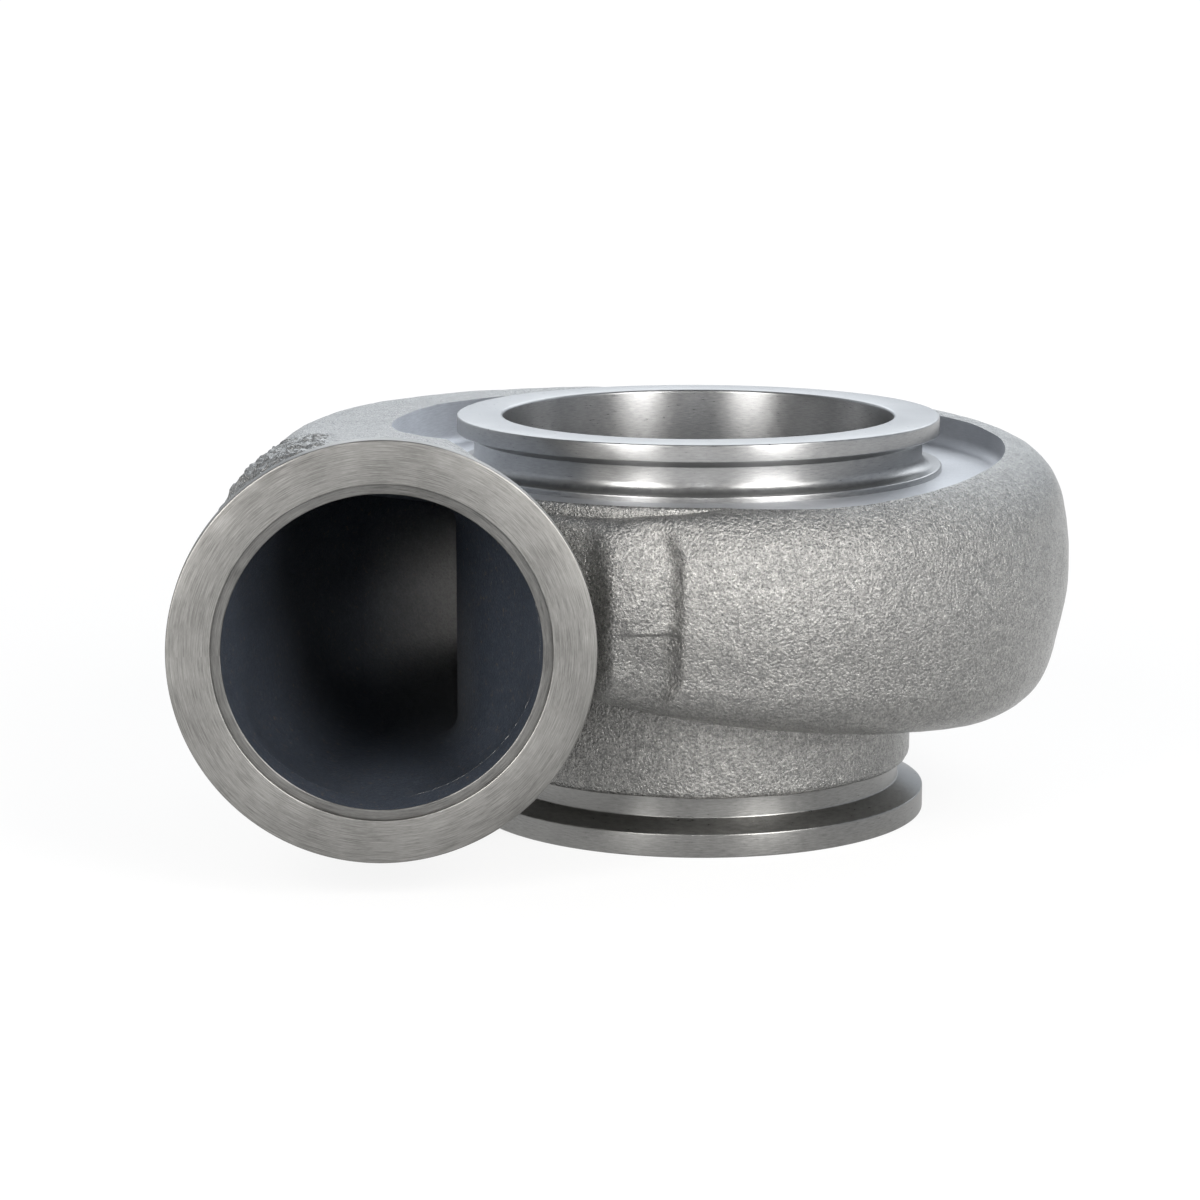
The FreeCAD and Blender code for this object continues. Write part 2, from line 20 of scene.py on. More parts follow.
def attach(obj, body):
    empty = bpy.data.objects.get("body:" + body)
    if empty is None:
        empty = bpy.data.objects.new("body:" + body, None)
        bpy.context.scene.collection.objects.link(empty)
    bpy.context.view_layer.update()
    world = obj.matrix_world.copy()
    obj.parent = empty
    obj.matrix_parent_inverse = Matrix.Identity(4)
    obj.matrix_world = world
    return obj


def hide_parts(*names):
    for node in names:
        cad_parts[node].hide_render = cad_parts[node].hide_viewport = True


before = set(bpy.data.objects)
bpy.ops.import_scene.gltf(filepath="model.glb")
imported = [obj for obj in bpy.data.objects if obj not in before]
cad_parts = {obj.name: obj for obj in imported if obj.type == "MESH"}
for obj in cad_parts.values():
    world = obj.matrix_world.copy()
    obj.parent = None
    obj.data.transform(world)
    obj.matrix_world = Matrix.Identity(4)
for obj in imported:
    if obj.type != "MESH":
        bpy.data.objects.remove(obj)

LOG = logging.getLogger("turbine_housing")
MM = 0.001
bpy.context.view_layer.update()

Point = tuple[float, float]
Rgb = tuple[float, float, float]


class Join(Enum):
    """How one solid is worked into another."""

    ADD = "UNION"
    TAKE_AWAY = "DIFFERENCE"


class TurnAxis(Enum):
    """The axis that a turned ring is made about."""

    TURBINE = "turbine"
    INLET = "inlet"


class Surface(Enum):
    """The kinds of surface on the casting, in the order of its material slots."""

    CAST = 0
    GAS_WAY = 1
    TURNED = 2


@dataclass(frozen=True)
class Corner:
    """A corner of an outline: how far out, how high, and the radius that rounds it."""

    across: float
    up: float
    rounding: float = 0.0


@dataclass(frozen=True)
class Region:
    """A box of space between two corners, in millimetres."""

    low: tuple[float, float, float]
    high: tuple[float, float, float]

    def holds(self, point: Vector) -> bool:
        """Whether a point lies in it."""
        return all(low < value < high for low, value, high in zip(self.low, point, self.high))


@dataclass(frozen=True)
class Fade:
    """A share that changes along one axis: where it starts and ends, in metres, and its values there."""

    axis: str
    start: float
    end: float
    at_start: float = 0.0
    at_end: float = 1.0


# Outlines and splines


def corner_arc(before: Corner, corner: Corner, after: Corner, count: int) -> list[Point]:
    """Points along the rounding of a corner.

    Args:
        before: The corner that comes before it.
        corner: The corner that is rounded.
        after: The corner that comes after it.
        count: How many points the arc gets, both its ends included.

    Returns:
        The points from the arc's start to its end.
    """
    here = Vector((corner.across, corner.up))
    back = (Vector((before.across, before.up)) - here).normalized()
    ahead = (Vector((after.across, after.up)) - here).normalized()
    half = math.acos(max(-1.0, min(1.0, back.dot(ahead)))) / 2
    run = corner.rounding / math.tan(half)
    middle = here + (back + ahead).normalized() * (corner.rounding / math.sin(half))
    first = here + back * run - middle
    last = here + ahead * run - middle
    swing = first.angle_signed(last)
    points = []
    for step in range(count):
        angle = -swing * step / (count - 1)
        turned = Vector(
            (
                first.x * math.cos(angle) - first.y * math.sin(angle),
                first.x * math.sin(angle) + first.y * math.cos(angle),
            )
        )
        points.append(tuple(middle + turned))
    return points


def rounded(corners: Sequence[Corner], steps: int = 5) -> list[Point]:
    """A closed outline with its corners rounded.

    Args:
        corners: The outline's corners in order.
        steps: How many points each rounding gets.

    Returns:
        The outline's points in order.
    """
    points: list[Point] = []
    for i, corner in enumerate(corners):
        if corner.rounding:
            points += corner_arc(corners[i - 1], corner, corners[(i + 1) % len(corners)], steps)
        else:
            points.append((corner.across, corner.up))
    return points


def spline_through(stations: np.ndarray, places: np.ndarray, at: np.ndarray) -> np.ndarray:
    """A natural cubic spline through loops of points.

    Args:
        stations: The loops that it passes through, as stations by points by 3.
        places: The place of each station along the path.
        at: The places at which loops are wanted.

    Returns:
        The loops at those places.
    """
    count = len(places)
    gaps = np.diff(places)
    system = np.eye(count)
    right = np.zeros((count,) + stations.shape[1:])
    for i in range(1, count - 1):
        system[i, i - 1] = gaps[i - 1]
        system[i, i] = 2 * (gaps[i - 1] + gaps[i])
        system[i, i + 1] = gaps[i]
        rise = (stations[i + 1] - stations[i]) / gaps[i]
        fall = (stations[i] - stations[i - 1]) / gaps[i - 1]
        right[i] = 6 * (rise - fall)
    bends = np.linalg.solve(system, right.reshape(count, -1)).reshape(right.shape)
    spans = np.clip(np.searchsorted(places, at, side="right") - 1, 0, count - 2)
    loops = []
    for place, i in zip(at, spans):
        gap = gaps[i]
        left = places[i + 1] - place
        gone = place - places[i]
        loop = bends[i] * left ** 3 / (6 * gap) + bends[i + 1] * gone ** 3 / (6 * gap)
        loop = loop + (stations[i] / gap - bends[i] * gap / 6) * left
        loops.append(loop + (stations[i + 1] / gap - bends[i + 1] * gap / 6) * gone)
    return np.array(loops)


def smooth_step(low: float, high: float, value: float) -> float:
    """0 below low, 1 above high, and a smooth rise between them."""
    share = max(0.0, min(1.0, (value - low) / (high - low)))
    return share * share * (3 - 2 * share)


# The workbench: Blender's own tools, one step each


class Bench:
    """Modelling steps that each piece is made with."""

    @staticmethod
    def clear() -> None:
        """Go back to object mode with nothing selected."""
        if bpy.context.object is not None and bpy.context.object.mode != "OBJECT":
            bpy.ops.object.mode_set(mode="OBJECT")
        bpy.ops.object.select_all(action="DESELECT")

    @staticmethod
    def take(piece: bpy.types.Object) -> None:
        """Select this piece alone and make it the active one."""
        Bench.clear()
        piece.select_set(True)
        bpy.context.view_layer.objects.active = piece

    @staticmethod
    def loop(name: str, points: Sequence[Sequence[float]]) -> bpy.types.Object:
        """A closed wire loop.

        Args:
            name: Name of the new piece.
            points: Its points in order, in millimetres.

        Returns:
            The new piece.
        """
        Bench.clear()
        bpy.ops.mesh.primitive_circle_add(vertices=len(points), radius=1.0, fill_type="NOTHING")
        piece = bpy.context.object
        piece.name = name
        piece.data.name = name
        for vertex, point in zip(piece.data.vertices, points):
            vertex.co = Vector(point) * MM
        return piece

    @staticmethod
    def finish_mesh(piece: bpy.types.Object) -> None:
        """Merge a mesh's doubles and turn its faces outwards."""
        Bench.take(piece)
        bpy.ops.object.mode_set(mode="EDIT")
        bpy.ops.mesh.select_all(action="SELECT")
        bpy.ops.mesh.remove_doubles(threshold=1e-6)
        bpy.ops.mesh.normals_make_consistent(inside=False)
        bpy.ops.object.mode_set(mode="OBJECT")

    @staticmethod
    def turn(name: str, outline: Sequence[Point], about: TurnAxis, steps: int = 192,
             centre: tuple[float, float, float] = (0.0, 0.0, 0.0)) -> bpy.types.Object:
        """A ring turned from an outline of radius and height.

        Args:
            name: Name of the new piece.
            outline: Radius and height of each point of the ring's section.
            about: The turbine axis, or the inlet axis, where height runs from the face inwards.
            steps: How many steps make the full turn.
            centre: Where the height of 0 lies on the axis.

        Returns:
            The new piece.
        """
        x, y, z = centre
        if about is TurnAxis.TURBINE:
            points = [(x + radius, y, z + height) for radius, height in outline]
            axis = (0.0, 0.0, 1.0)
        else:
            points = [(x + radius, y + height, z) for radius, height in outline]
            axis = (0.0, 1.0, 0.0)
        piece = Bench.loop(name, points)
        Bench.take(piece)
        bpy.ops.object.mode_set(mode="EDIT")
        bpy.ops.mesh.select_all(action="SELECT")
        middle = tuple(value * MM for value in centre)
        bpy.ops.mesh.spin(steps=steps, angle=math.tau, center=middle, axis=axis)
        bpy.ops.object.mode_set(mode="OBJECT")
        Bench.finish_mesh(piece)
        return piece

    @staticmethod
    def loft(name: str, loops: np.ndarray) -> bpy.types.Object:
        """A closed solid made by extruding one loop from station to station.

        Args:
            name: Name of the new piece.
            loops: The stations as loops by points by 3, in millimetres.

        Returns:
            The new piece.
        """
        piece = Bench.loop(name, loops[0])
        Bench.take(piece)
        bpy.ops.object.mode_set(mode="EDIT")
        bpy.ops.mesh.select_all(action="SELECT")
        mesh = bmesh.from_edit_mesh(piece.data)
        mesh.verts.ensure_lookup_table()
        order = {vertex: i for i, vertex in enumerate(mesh.verts)}
        first = list(mesh.verts)
        for loop in loops[1:]:
            bpy.ops.mesh.extrude_edges_move()
            mesh = bmesh.from_edit_mesh(piece.data)
            fresh = {}
            for vertex in mesh.verts:
                if vertex.select:
                    origin = next(edge.other_vert(vertex) for edge in vertex.link_edges
                                  if not edge.other_vert(vertex).select)
                    fresh[vertex] = order[origin]
                    vertex.co = Vector(loop[order[origin]]) * MM
            order = fresh
        bpy.ops.mesh.edge_face_add()
        bpy.ops.mesh.select_all(action="DESELECT")
        for vertex in first:
            vertex.select = True
        mesh.select_flush(True)
        bpy.ops.mesh.edge_face_add()
        bpy.ops.object.mode_set(mode="OBJECT")
        Bench.finish_mesh(piece)
        return piece

    @staticmethod
    def work_in(piece: bpy.types.Object, tool: bpy.types.Object, how: Join) -> None:
        """Add a tool's solid to a piece, or take it away, and clear the tool off the bench.

        Args:
            piece: The solid that is changed.
            tool: The solid that is worked into it.
            how: Whether it is added or taken away.
        """
        Bench.take(piece)
        cut = piece.modifiers.new("work", "BOOLEAN")
        cut.operation = how.value
        cut.solver = "MANIFOLD"
        cut.object = tool
        bpy.ops.object.modifier_apply(modifier=cut.name)
        bpy.data.objects.remove(tool)

    @staticmethod
    def paint(piece: bpy.types.Object, surface: Surface) -> None:
        """Give every face of a tool the casting's slot for this kind of surface."""
        for kind in Surface:
            if len(piece.data.materials) <= kind.value:
                piece.data.materials.append(Finishes.of(kind))
        for face in piece.data.polygons:
            face.material_index = surface.value

    @staticmethod
    def roughen(piece: bpy.types.Object, grain: float, height: float, seed: float) -> None:
        """Move a cast skin in and out a little, as sand does.

        Args:
            piece: The cast solid.
            grain: Size of the hollows and swells, in millimetres.
            height: How far they move the skin, in millimetres.
            seed: Shifts the pattern.
        """
        normals = [vertex.normal.copy() for vertex in piece.data.vertices]
        for vertex, normal in zip(piece.data.vertices, normals):
            swell = noise.noise(vertex.co / (grain * MM) + Vector((seed, 0.0, -seed)))
            vertex.co += normal * (swell * height * MM)

    @staticmethod
    def refine(piece: bpy.types.Object, region: Region, cuts: int) -> None:
        """Divide the faces whose centre lies in a region.

        Args:
            piece: The piece that gets more faces.
            region: Where it gets them.
            cuts: Cuts across each edge.
        """
        Bench.take(piece)
        for item in (*piece.data.polygons, *piece.data.edges, *piece.data.vertices):
            item.select = False
        for face in piece.data.polygons:
            face.select = region.holds(face.center / MM)
        bpy.ops.object.mode_set(mode="EDIT")
        bpy.ops.mesh.select_mode(type="FACE")
        bpy.ops.mesh.subdivide(number_cuts=cuts, smoothness=0.0)
        bpy.ops.mesh.select_mode(type="VERT")
        bpy.ops.object.mode_set(mode="OBJECT")

    @staticmethod
    def hand_over(piece: bpy.types.Object, slot: str, *nodes: str) -> None:
        """Put a finished piece on the body in place of its nodes.

        Args:
            piece: The finished piece.
            slot: The record's material slot; not used.
            nodes: The nodes that it stands for.
        """
        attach(piece, "root")
        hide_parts(*nodes)
        LOG.info("%s: %d faces, stands for %s", piece.name, len(piece.data.polygons), ", ".join(nodes))


# Finishes


class NodeWriter:
    """A short way to write a tree of shader nodes."""

    def __init__(self, tree: bpy.types.NodeTree) -> None:
        """Write into this tree."""
        self.nodes = tree.nodes
        self.links = tree.links

    def add(self, kind: str, inputs: Optional[dict] = None, **settings: object) -> bpy.types.Node:
        """Add a node.

        Args:
            kind: The node's type.
            inputs: Values or sockets for its inputs, by name or number.
            settings: Its own settings.

        Returns:
            The new node.
        """
        node = self.nodes.new(kind)
        for name, value in settings.items():
            setattr(node, name, value)
        for name, value in (inputs or {}).items():
            self.feed(node.inputs[name], value)
        return node

    def feed(self, socket: bpy.types.NodeSocket, value: object) -> None:
        """Link a socket to an input, or set the input to a value or an opaque colour."""
        if isinstance(value, bpy.types.NodeSocket):
            self.links.new(value, socket)
        elif socket.type == "RGBA":
            socket.default_value = (*value, 1.0)
        else:
            socket.default_value = value

    def math(self, operation: str, *values: object) -> bpy.types.NodeSocket:
        """The result of a sum on numbers or sockets."""
        return self.add("ShaderNodeMath", dict(enumerate(values)), operation=operation).outputs[0]

    def vector(self, operation: str, *values: object, result: str = "Vector") -> bpy.types.NodeSocket:
        """The result of a sum on vectors or sockets."""
        return self.add("ShaderNodeVectorMath", dict(enumerate(values)), operation=operation).outputs[result]

    def weighted(self, *terms: tuple[bpy.types.NodeSocket, float]) -> bpy.types.NodeSocket:
        """The sum of some values, each times its weight."""
        parts = [self.math("MULTIPLY", value, weight) for value, weight in terms]
        total = parts[0]
        for part in parts[1:]:
            total = self.math("ADD", total, part)
        return total

    def apart(self, place: bpy.types.NodeSocket) -> bpy.types.bpy_prop_collection:
        """The X, Y and Z of a place."""
        return self.add("ShaderNodeSeparateXYZ", {0: place}).outputs

    def together(self, **parts: object) -> bpy.types.NodeSocket:
        """A vector made from X, Y and Z."""
        return self.add("ShaderNodeCombineXYZ", parts).outputs[0]

    def spread(self, value: bpy.types.NodeSocket, low: float, high: float, out_low: float,
               out_high: float) -> bpy.types.NodeSocket:
        """Stretch one range of a value on to another, held at its ends."""
        inputs = {"Value": value, "From Min": low, "From Max": high, "To Min": out_low, "To Max": out_high}
        return self.add("ShaderNodeMapRange", inputs).outputs["Result"]

    def ramp(self, value: bpy.types.NodeSocket, stops: Sequence[tuple[float, Rgb]]) -> bpy.types.NodeSocket:
        """Colours picked by a value.

        Args:
            value: What picks the colour.
            stops: Places from 0 to 1 and their colours.

        Returns:
            The colour.
        """
        node = self.add("ShaderNodeValToRGB", {"Fac": value})
        elements = node.color_ramp.elements
        while len(elements) < len(stops):
            elements.new(0.5)
        for element, (place, colour) in zip(elements, stops):
            element.position = place
            element.color = (*colour, 1.0)
        return node.outputs["Color"]

    def mix(self, share: object, first: object, second: object, blend: str = "MIX") -> bpy.types.NodeSocket:
        """A mix of two colours."""
        node = self.add("ShaderNodeMix", data_type="RGBA", blend_type=blend)
        for name, value in (("Factor_Float", share), ("A_Color", first), ("B_Color", second)):
            self.feed(next(item for item in node.inputs if item.identifier == name), value)
        return next(item for item in node.outputs if item.identifier == "Result_Color")


class Graph(NodeWriter):
    """The nodes of a new material that starts with a plain shader."""

    def __init__(self, name: str) -> None:
        """Start a material of this name."""
        self.material = bpy.data.materials.new(name)
        self.material.use_nodes = True
        super().__init__(self.material.node_tree)
        self.shader = self.nodes["Principled BSDF"]
        self.place = self.add("ShaderNodeTexCoord").outputs["Object"]

    def noise(self, scale: float, detail: float, roughness: float,
              place: Optional[bpy.types.NodeSocket] = None) -> bpy.types.NodeSocket:
        """Noise in space, from 0 to 1.

        Args:
            scale: Features in a metre.
            detail: How many finer layers it has.
            roughness: How strong the finer layers are.
            place: Where it is read, or the object's own coordinates.

        Returns:
            The noise's value.
        """
        inputs = {"Vector": place or self.place, "Scale": scale, "Detail": detail, "Roughness": roughness}
        return self.add("ShaderNodeTexNoise", inputs).outputs["Fac"]

    def fade(self, fades: Sequence[Fade]) -> bpy.types.NodeSocket:
        """The product of some fades at the object's own coordinates."""
        parts = self.apart(self.place)
        share: object = 1.0
        for item in fades:
            part = self.spread(parts[item.axis], item.start, item.end, item.at_start, item.at_end)
            share = self.math("MULTIPLY", share, part)
        return share

    def bump(self, height: bpy.types.NodeSocket, distance: float) -> bpy.types.NodeSocket:
        """A normal that is tilted by a height, where a height of 1 stands for a distance in metres."""
        return self.add("ShaderNodeBump", {"Height": height, "Distance": distance}).outputs["Normal"]

    def wire(self, **sockets: object) -> None:
        """Set or link the shader's inputs, by name with _ for a space."""
        for name, value in sockets.items():
            self.feed(self.shader.inputs[name.replace("_", " ")], value)


@dataclass(frozen=True)
class SandCast:
    """Bare sand-cast iron: an even grey skin of fine wrinkled grain that glints, with specks of oxide; its hollows
    are painted darker as painted shade and its tops lighter as painted glints.

    Grain is in features a metre and depth in metres. The far skin is painted light: a lighter tone deep in the gas
    way, where light from the wheel's side falls on it.
    """

    # Tones by the grain's height: the hollow tone is painted shade and the shine tone a painted glint.
    hollow_shade: Rgb = (0.22, 0.219, 0.215)
    skin: Rgb = (0.37, 0.366, 0.354)
    shine: Rgb = (0.52, 0.514, 0.49)
    oxide: Rgb = (0.17, 0.13, 0.09)
    oxide_share: float = 0.12
    grain: float = 1600.0
    depth: float = 0.0008
    metal: float = 0.9
    roughness: tuple[float, float] = (0.23, 0.35)
    # Painted light: a lighter skin and hollow tone on the gas way's far wall, and where it lies.
    painted_light_skin: Optional[Rgb] = None
    painted_light_hollow: Optional[Rgb] = None
    painted_light_place: tuple[Fade, ...] = (
        Fade("Y", -0.03, 0.03),
        Fade("Z", 0.014, 0.028),
        Fade("Z", 0.048, 0.062, 1.0, 0.0),
        Fade("X", -0.078, -0.055, 0.1, 1.0),
    )

    def make(self, name: str) -> bpy.types.Material:
        """Write the material."""
        graph = Graph(name)
        warp = graph.add("ShaderNodeTexNoise", {"Vector": graph.place, "Scale": self.grain * 0.5, "Detail": 1.0})
        offset = graph.vector("SUBTRACT", warp.outputs["Color"], (0.5, 0.5, 0.5))
        offset = graph.add("ShaderNodeVectorMath", {0: offset, 3: 0.6 / self.grain}, operation="SCALE").outputs[0]
        place = graph.vector("ADD", graph.place, offset)
        grit = graph.noise(self.grain, detail=2.0, roughness=0.55, place=place)
        fine = graph.noise(self.grain * 2.6, detail=2.0, roughness=0.6, place=place)
        ripple = graph.noise(self.grain * 0.3, detail=2.0, roughness=0.5)
        patch = graph.noise(26.0, detail=4.0, roughness=0.6)
        spots = graph.noise(self.grain * 0.55, detail=3.0, roughness=0.7)
        height = graph.weighted((grit, 0.62), (fine, 0.2), (ripple, 0.25))
        tone = graph.weighted((height, 0.75), (patch, 0.06))
        # Painted shade and glints: the colour follows the grain's height, darker in its hollows and lighter on its
        # tops.
        colour = graph.ramp(tone, [(0.37, self.hollow_shade), (0.49, self.skin), (0.62, self.shine)])
        colour = graph.mix(graph.spread(spots, 0.60, 0.72, 0.0, self.oxide_share), colour, self.oxide)
        # Painted light on the gas way's far wall, where light falls into the scroll.
        if self.painted_light_skin is not None:
            far = graph.ramp(tone, [(0.33, self.painted_light_hollow), (0.53, self.painted_light_skin)])
            colour = graph.mix(graph.fade(self.painted_light_place), colour, far)
        graph.wire(Base_Color=colour, Metallic=self.metal, Roughness=graph.spread(fine, 0.3, 0.7, *self.roughness),
                   Normal=graph.bump(height, self.depth))
        return graph.material


@dataclass(frozen=True)
class Turned:
    """A turned face: fine tool marks round one axis, with a satin gloss across them.

    Depth is in metres, marks is how many cross a metre, and lay how often they change in a radian. Pits
    above this share of the noise are dark. A lift brightens one side of the face as painted light.
    """

    axis: TurnAxis
    dark: Rgb = (0.26, 0.262, 0.265)
    light: Rgb = (0.42, 0.42, 0.42)
    pit: Rgb = (0.03, 0.03, 0.03)
    metal: float = 1.0
    roughness: tuple[float, float] = (0.27, 0.38)
    depth: float = 0.00001
    across: float = 0.5
    marks: float = 2600.0
    fine_marks: float = 9000.0
    lay: float = 22.0
    pits: float = 0.945
    # Painted light: a lift brightens one side of the face.
    lift: Optional[Fade] = None
    centre: tuple[float, float, float] = (0.0, 0.0, 0.0)

    def make(self, name: str) -> bpy.types.Material:
        """Write the material."""
        graph = Graph(name)
        parts = graph.apart(graph.vector("ADD", graph.place, tuple(-value * MM for value in self.centre)))
        other, axis = ("Y", "Z") if self.axis is TurnAxis.TURBINE else ("Z", "Y")
        first, second = parts["X"], parts[other]
        squares = graph.math("ADD", graph.math("MULTIPLY", first, first), graph.math("MULTIPLY", second, second))
        angle = graph.math("ARCTAN2", second, first)
        track = graph.math("ADD", graph.math("SQRT", squares), graph.math("MULTIPLY", parts[axis], 1.37))
        lines = []
        for each_metre, lay, detail, roughness in (
            (self.marks, self.lay, 3.0, 0.65),
            (self.fine_marks, self.lay * 6, 2.0, 0.5),
        ):
            place = graph.together(X=graph.math("MULTIPLY", track, each_metre), Y=graph.math("MULTIPLY", angle, lay))
            lines.append(graph.noise(1.0, detail, roughness, place))
        marks, fine = lines
        cloud = graph.noise(70.0, detail=3.0, roughness=0.6)
        pits = graph.spread(graph.noise(700.0, detail=0.0, roughness=0.5), self.pits, self.pits + 0.02, 0.0, 1.0)
        tone = graph.weighted((marks, 0.55), (cloud, 0.3), (fine, 0.15))
        colour = graph.mix(pits, graph.ramp(tone, [(0.33, self.dark), (0.67, self.light)]), self.pit)
        # Painted light: the lift multiplies one side of the face lighter.
        if self.lift is not None:
            lift = graph.fade([self.lift])
            colour = graph.mix(1.0, colour, graph.together(X=lift, Y=lift, Z=lift), "MULTIPLY")
        height = graph.weighted((marks, 1.0), (fine, 0.6), (pits, -8.0))
        tangent = graph.together(**{"X": graph.math("MULTIPLY", second, -1.0), other: first})
        graph.wire(Base_Color=colour, Metallic=self.metal, Roughness=graph.spread(marks, 0.3, 0.7, *self.roughness),
                   Normal=graph.bump(height, self.depth), Tangent=tangent, Anisotropic=self.across,
                   Anisotropic_Rotation=0.25)
        return graph.material


class Finishes:
    """The finishes of the casting's surfaces, each made once."""

    RECIPES = {
        Surface.CAST: ("sand_cast_iron", SandCast()),
        # Painted shade: the gas way is the same iron in much darker tones, with a painted patch of light on its far
        # wall.
        Surface.GAS_WAY: ("gas_way_iron_painted_shade_and_light", SandCast(
            hollow_shade=(0.04, 0.05, 0.068), skin=(0.056, 0.068, 0.09), shine=(0.11, 0.12, 0.14),
            oxide=(0.26, 0.18, 0.11), oxide_share=0.5, painted_light_skin=(0.34, 0.335, 0.335),
            painted_light_hollow=(0.255, 0.25125, 0.25125), depth=0.0005, metal=0.3, roughness=(0.5, 0.7),
        )),
        # The recess wall is painted lighter towards -X, as painted light.
        Surface.TURNED: ("turned_wall_iron_painted_light", Turned(
            TurnAxis.TURBINE, dark=(0.38, 0.39, 0.41), light=(0.54, 0.55, 0.575), roughness=(0.42, 0.54),
            across=0.7, lift=Fade("X", -0.07, -0.035, 1.65, 1.0),
        )),
    }
    made: dict[Surface, bpy.types.Material] = {}

    @classmethod
    def of(cls, surface: Surface) -> bpy.types.Material:
        """The finish of this kind of surface."""
        if surface not in cls.made:
            name, recipe = cls.RECIPES[surface]
            cls.made[surface] = recipe.make(name)
        return cls.made[surface]


# Sub-assemblies


@dataclass
class ScrollSizes:
    """Sizes of the scroll's section at the start, after half a turn and at the end of the turn."""

    side: tuple[float, float, float] = (102.8, 88.0, 57.3)
    floor: tuple[float, float, float] = (13.5, 21.3, 45.1)
    top: tuple[float, float, float] = (89.5, 85.2, 72.0)
    belly: tuple[float, float, float] = (52.9, 55.0, 62.0)
    floor_rounding: tuple[float, float, float] = (21.0, 18.0, 6.0)
    shoulder_rounding: tuple[float, float, float] = (10.5, 15.5, 8.0)
    belly_rounding: tuple[float, float, float] = (60.0, 60.0, 15.0)
    wall: float = 5.6
    roof_rise: float = 0.1
    draft_down: float = 0.25
    draft_up: float = 0.17
    inner_rounding: float = 2.0

    @staticmethod
    def along(values: tuple[float, float, float], turn: float) -> float:
        """The parabola through a size's three values, at this turn."""
        start, half, end = values
        share = turn / 360.0
        return (start * (1 - 3 * share + 2 * share ** 2) + half * (4 * share - 4 * share ** 2)
                + end * (2 * share ** 2 - share))


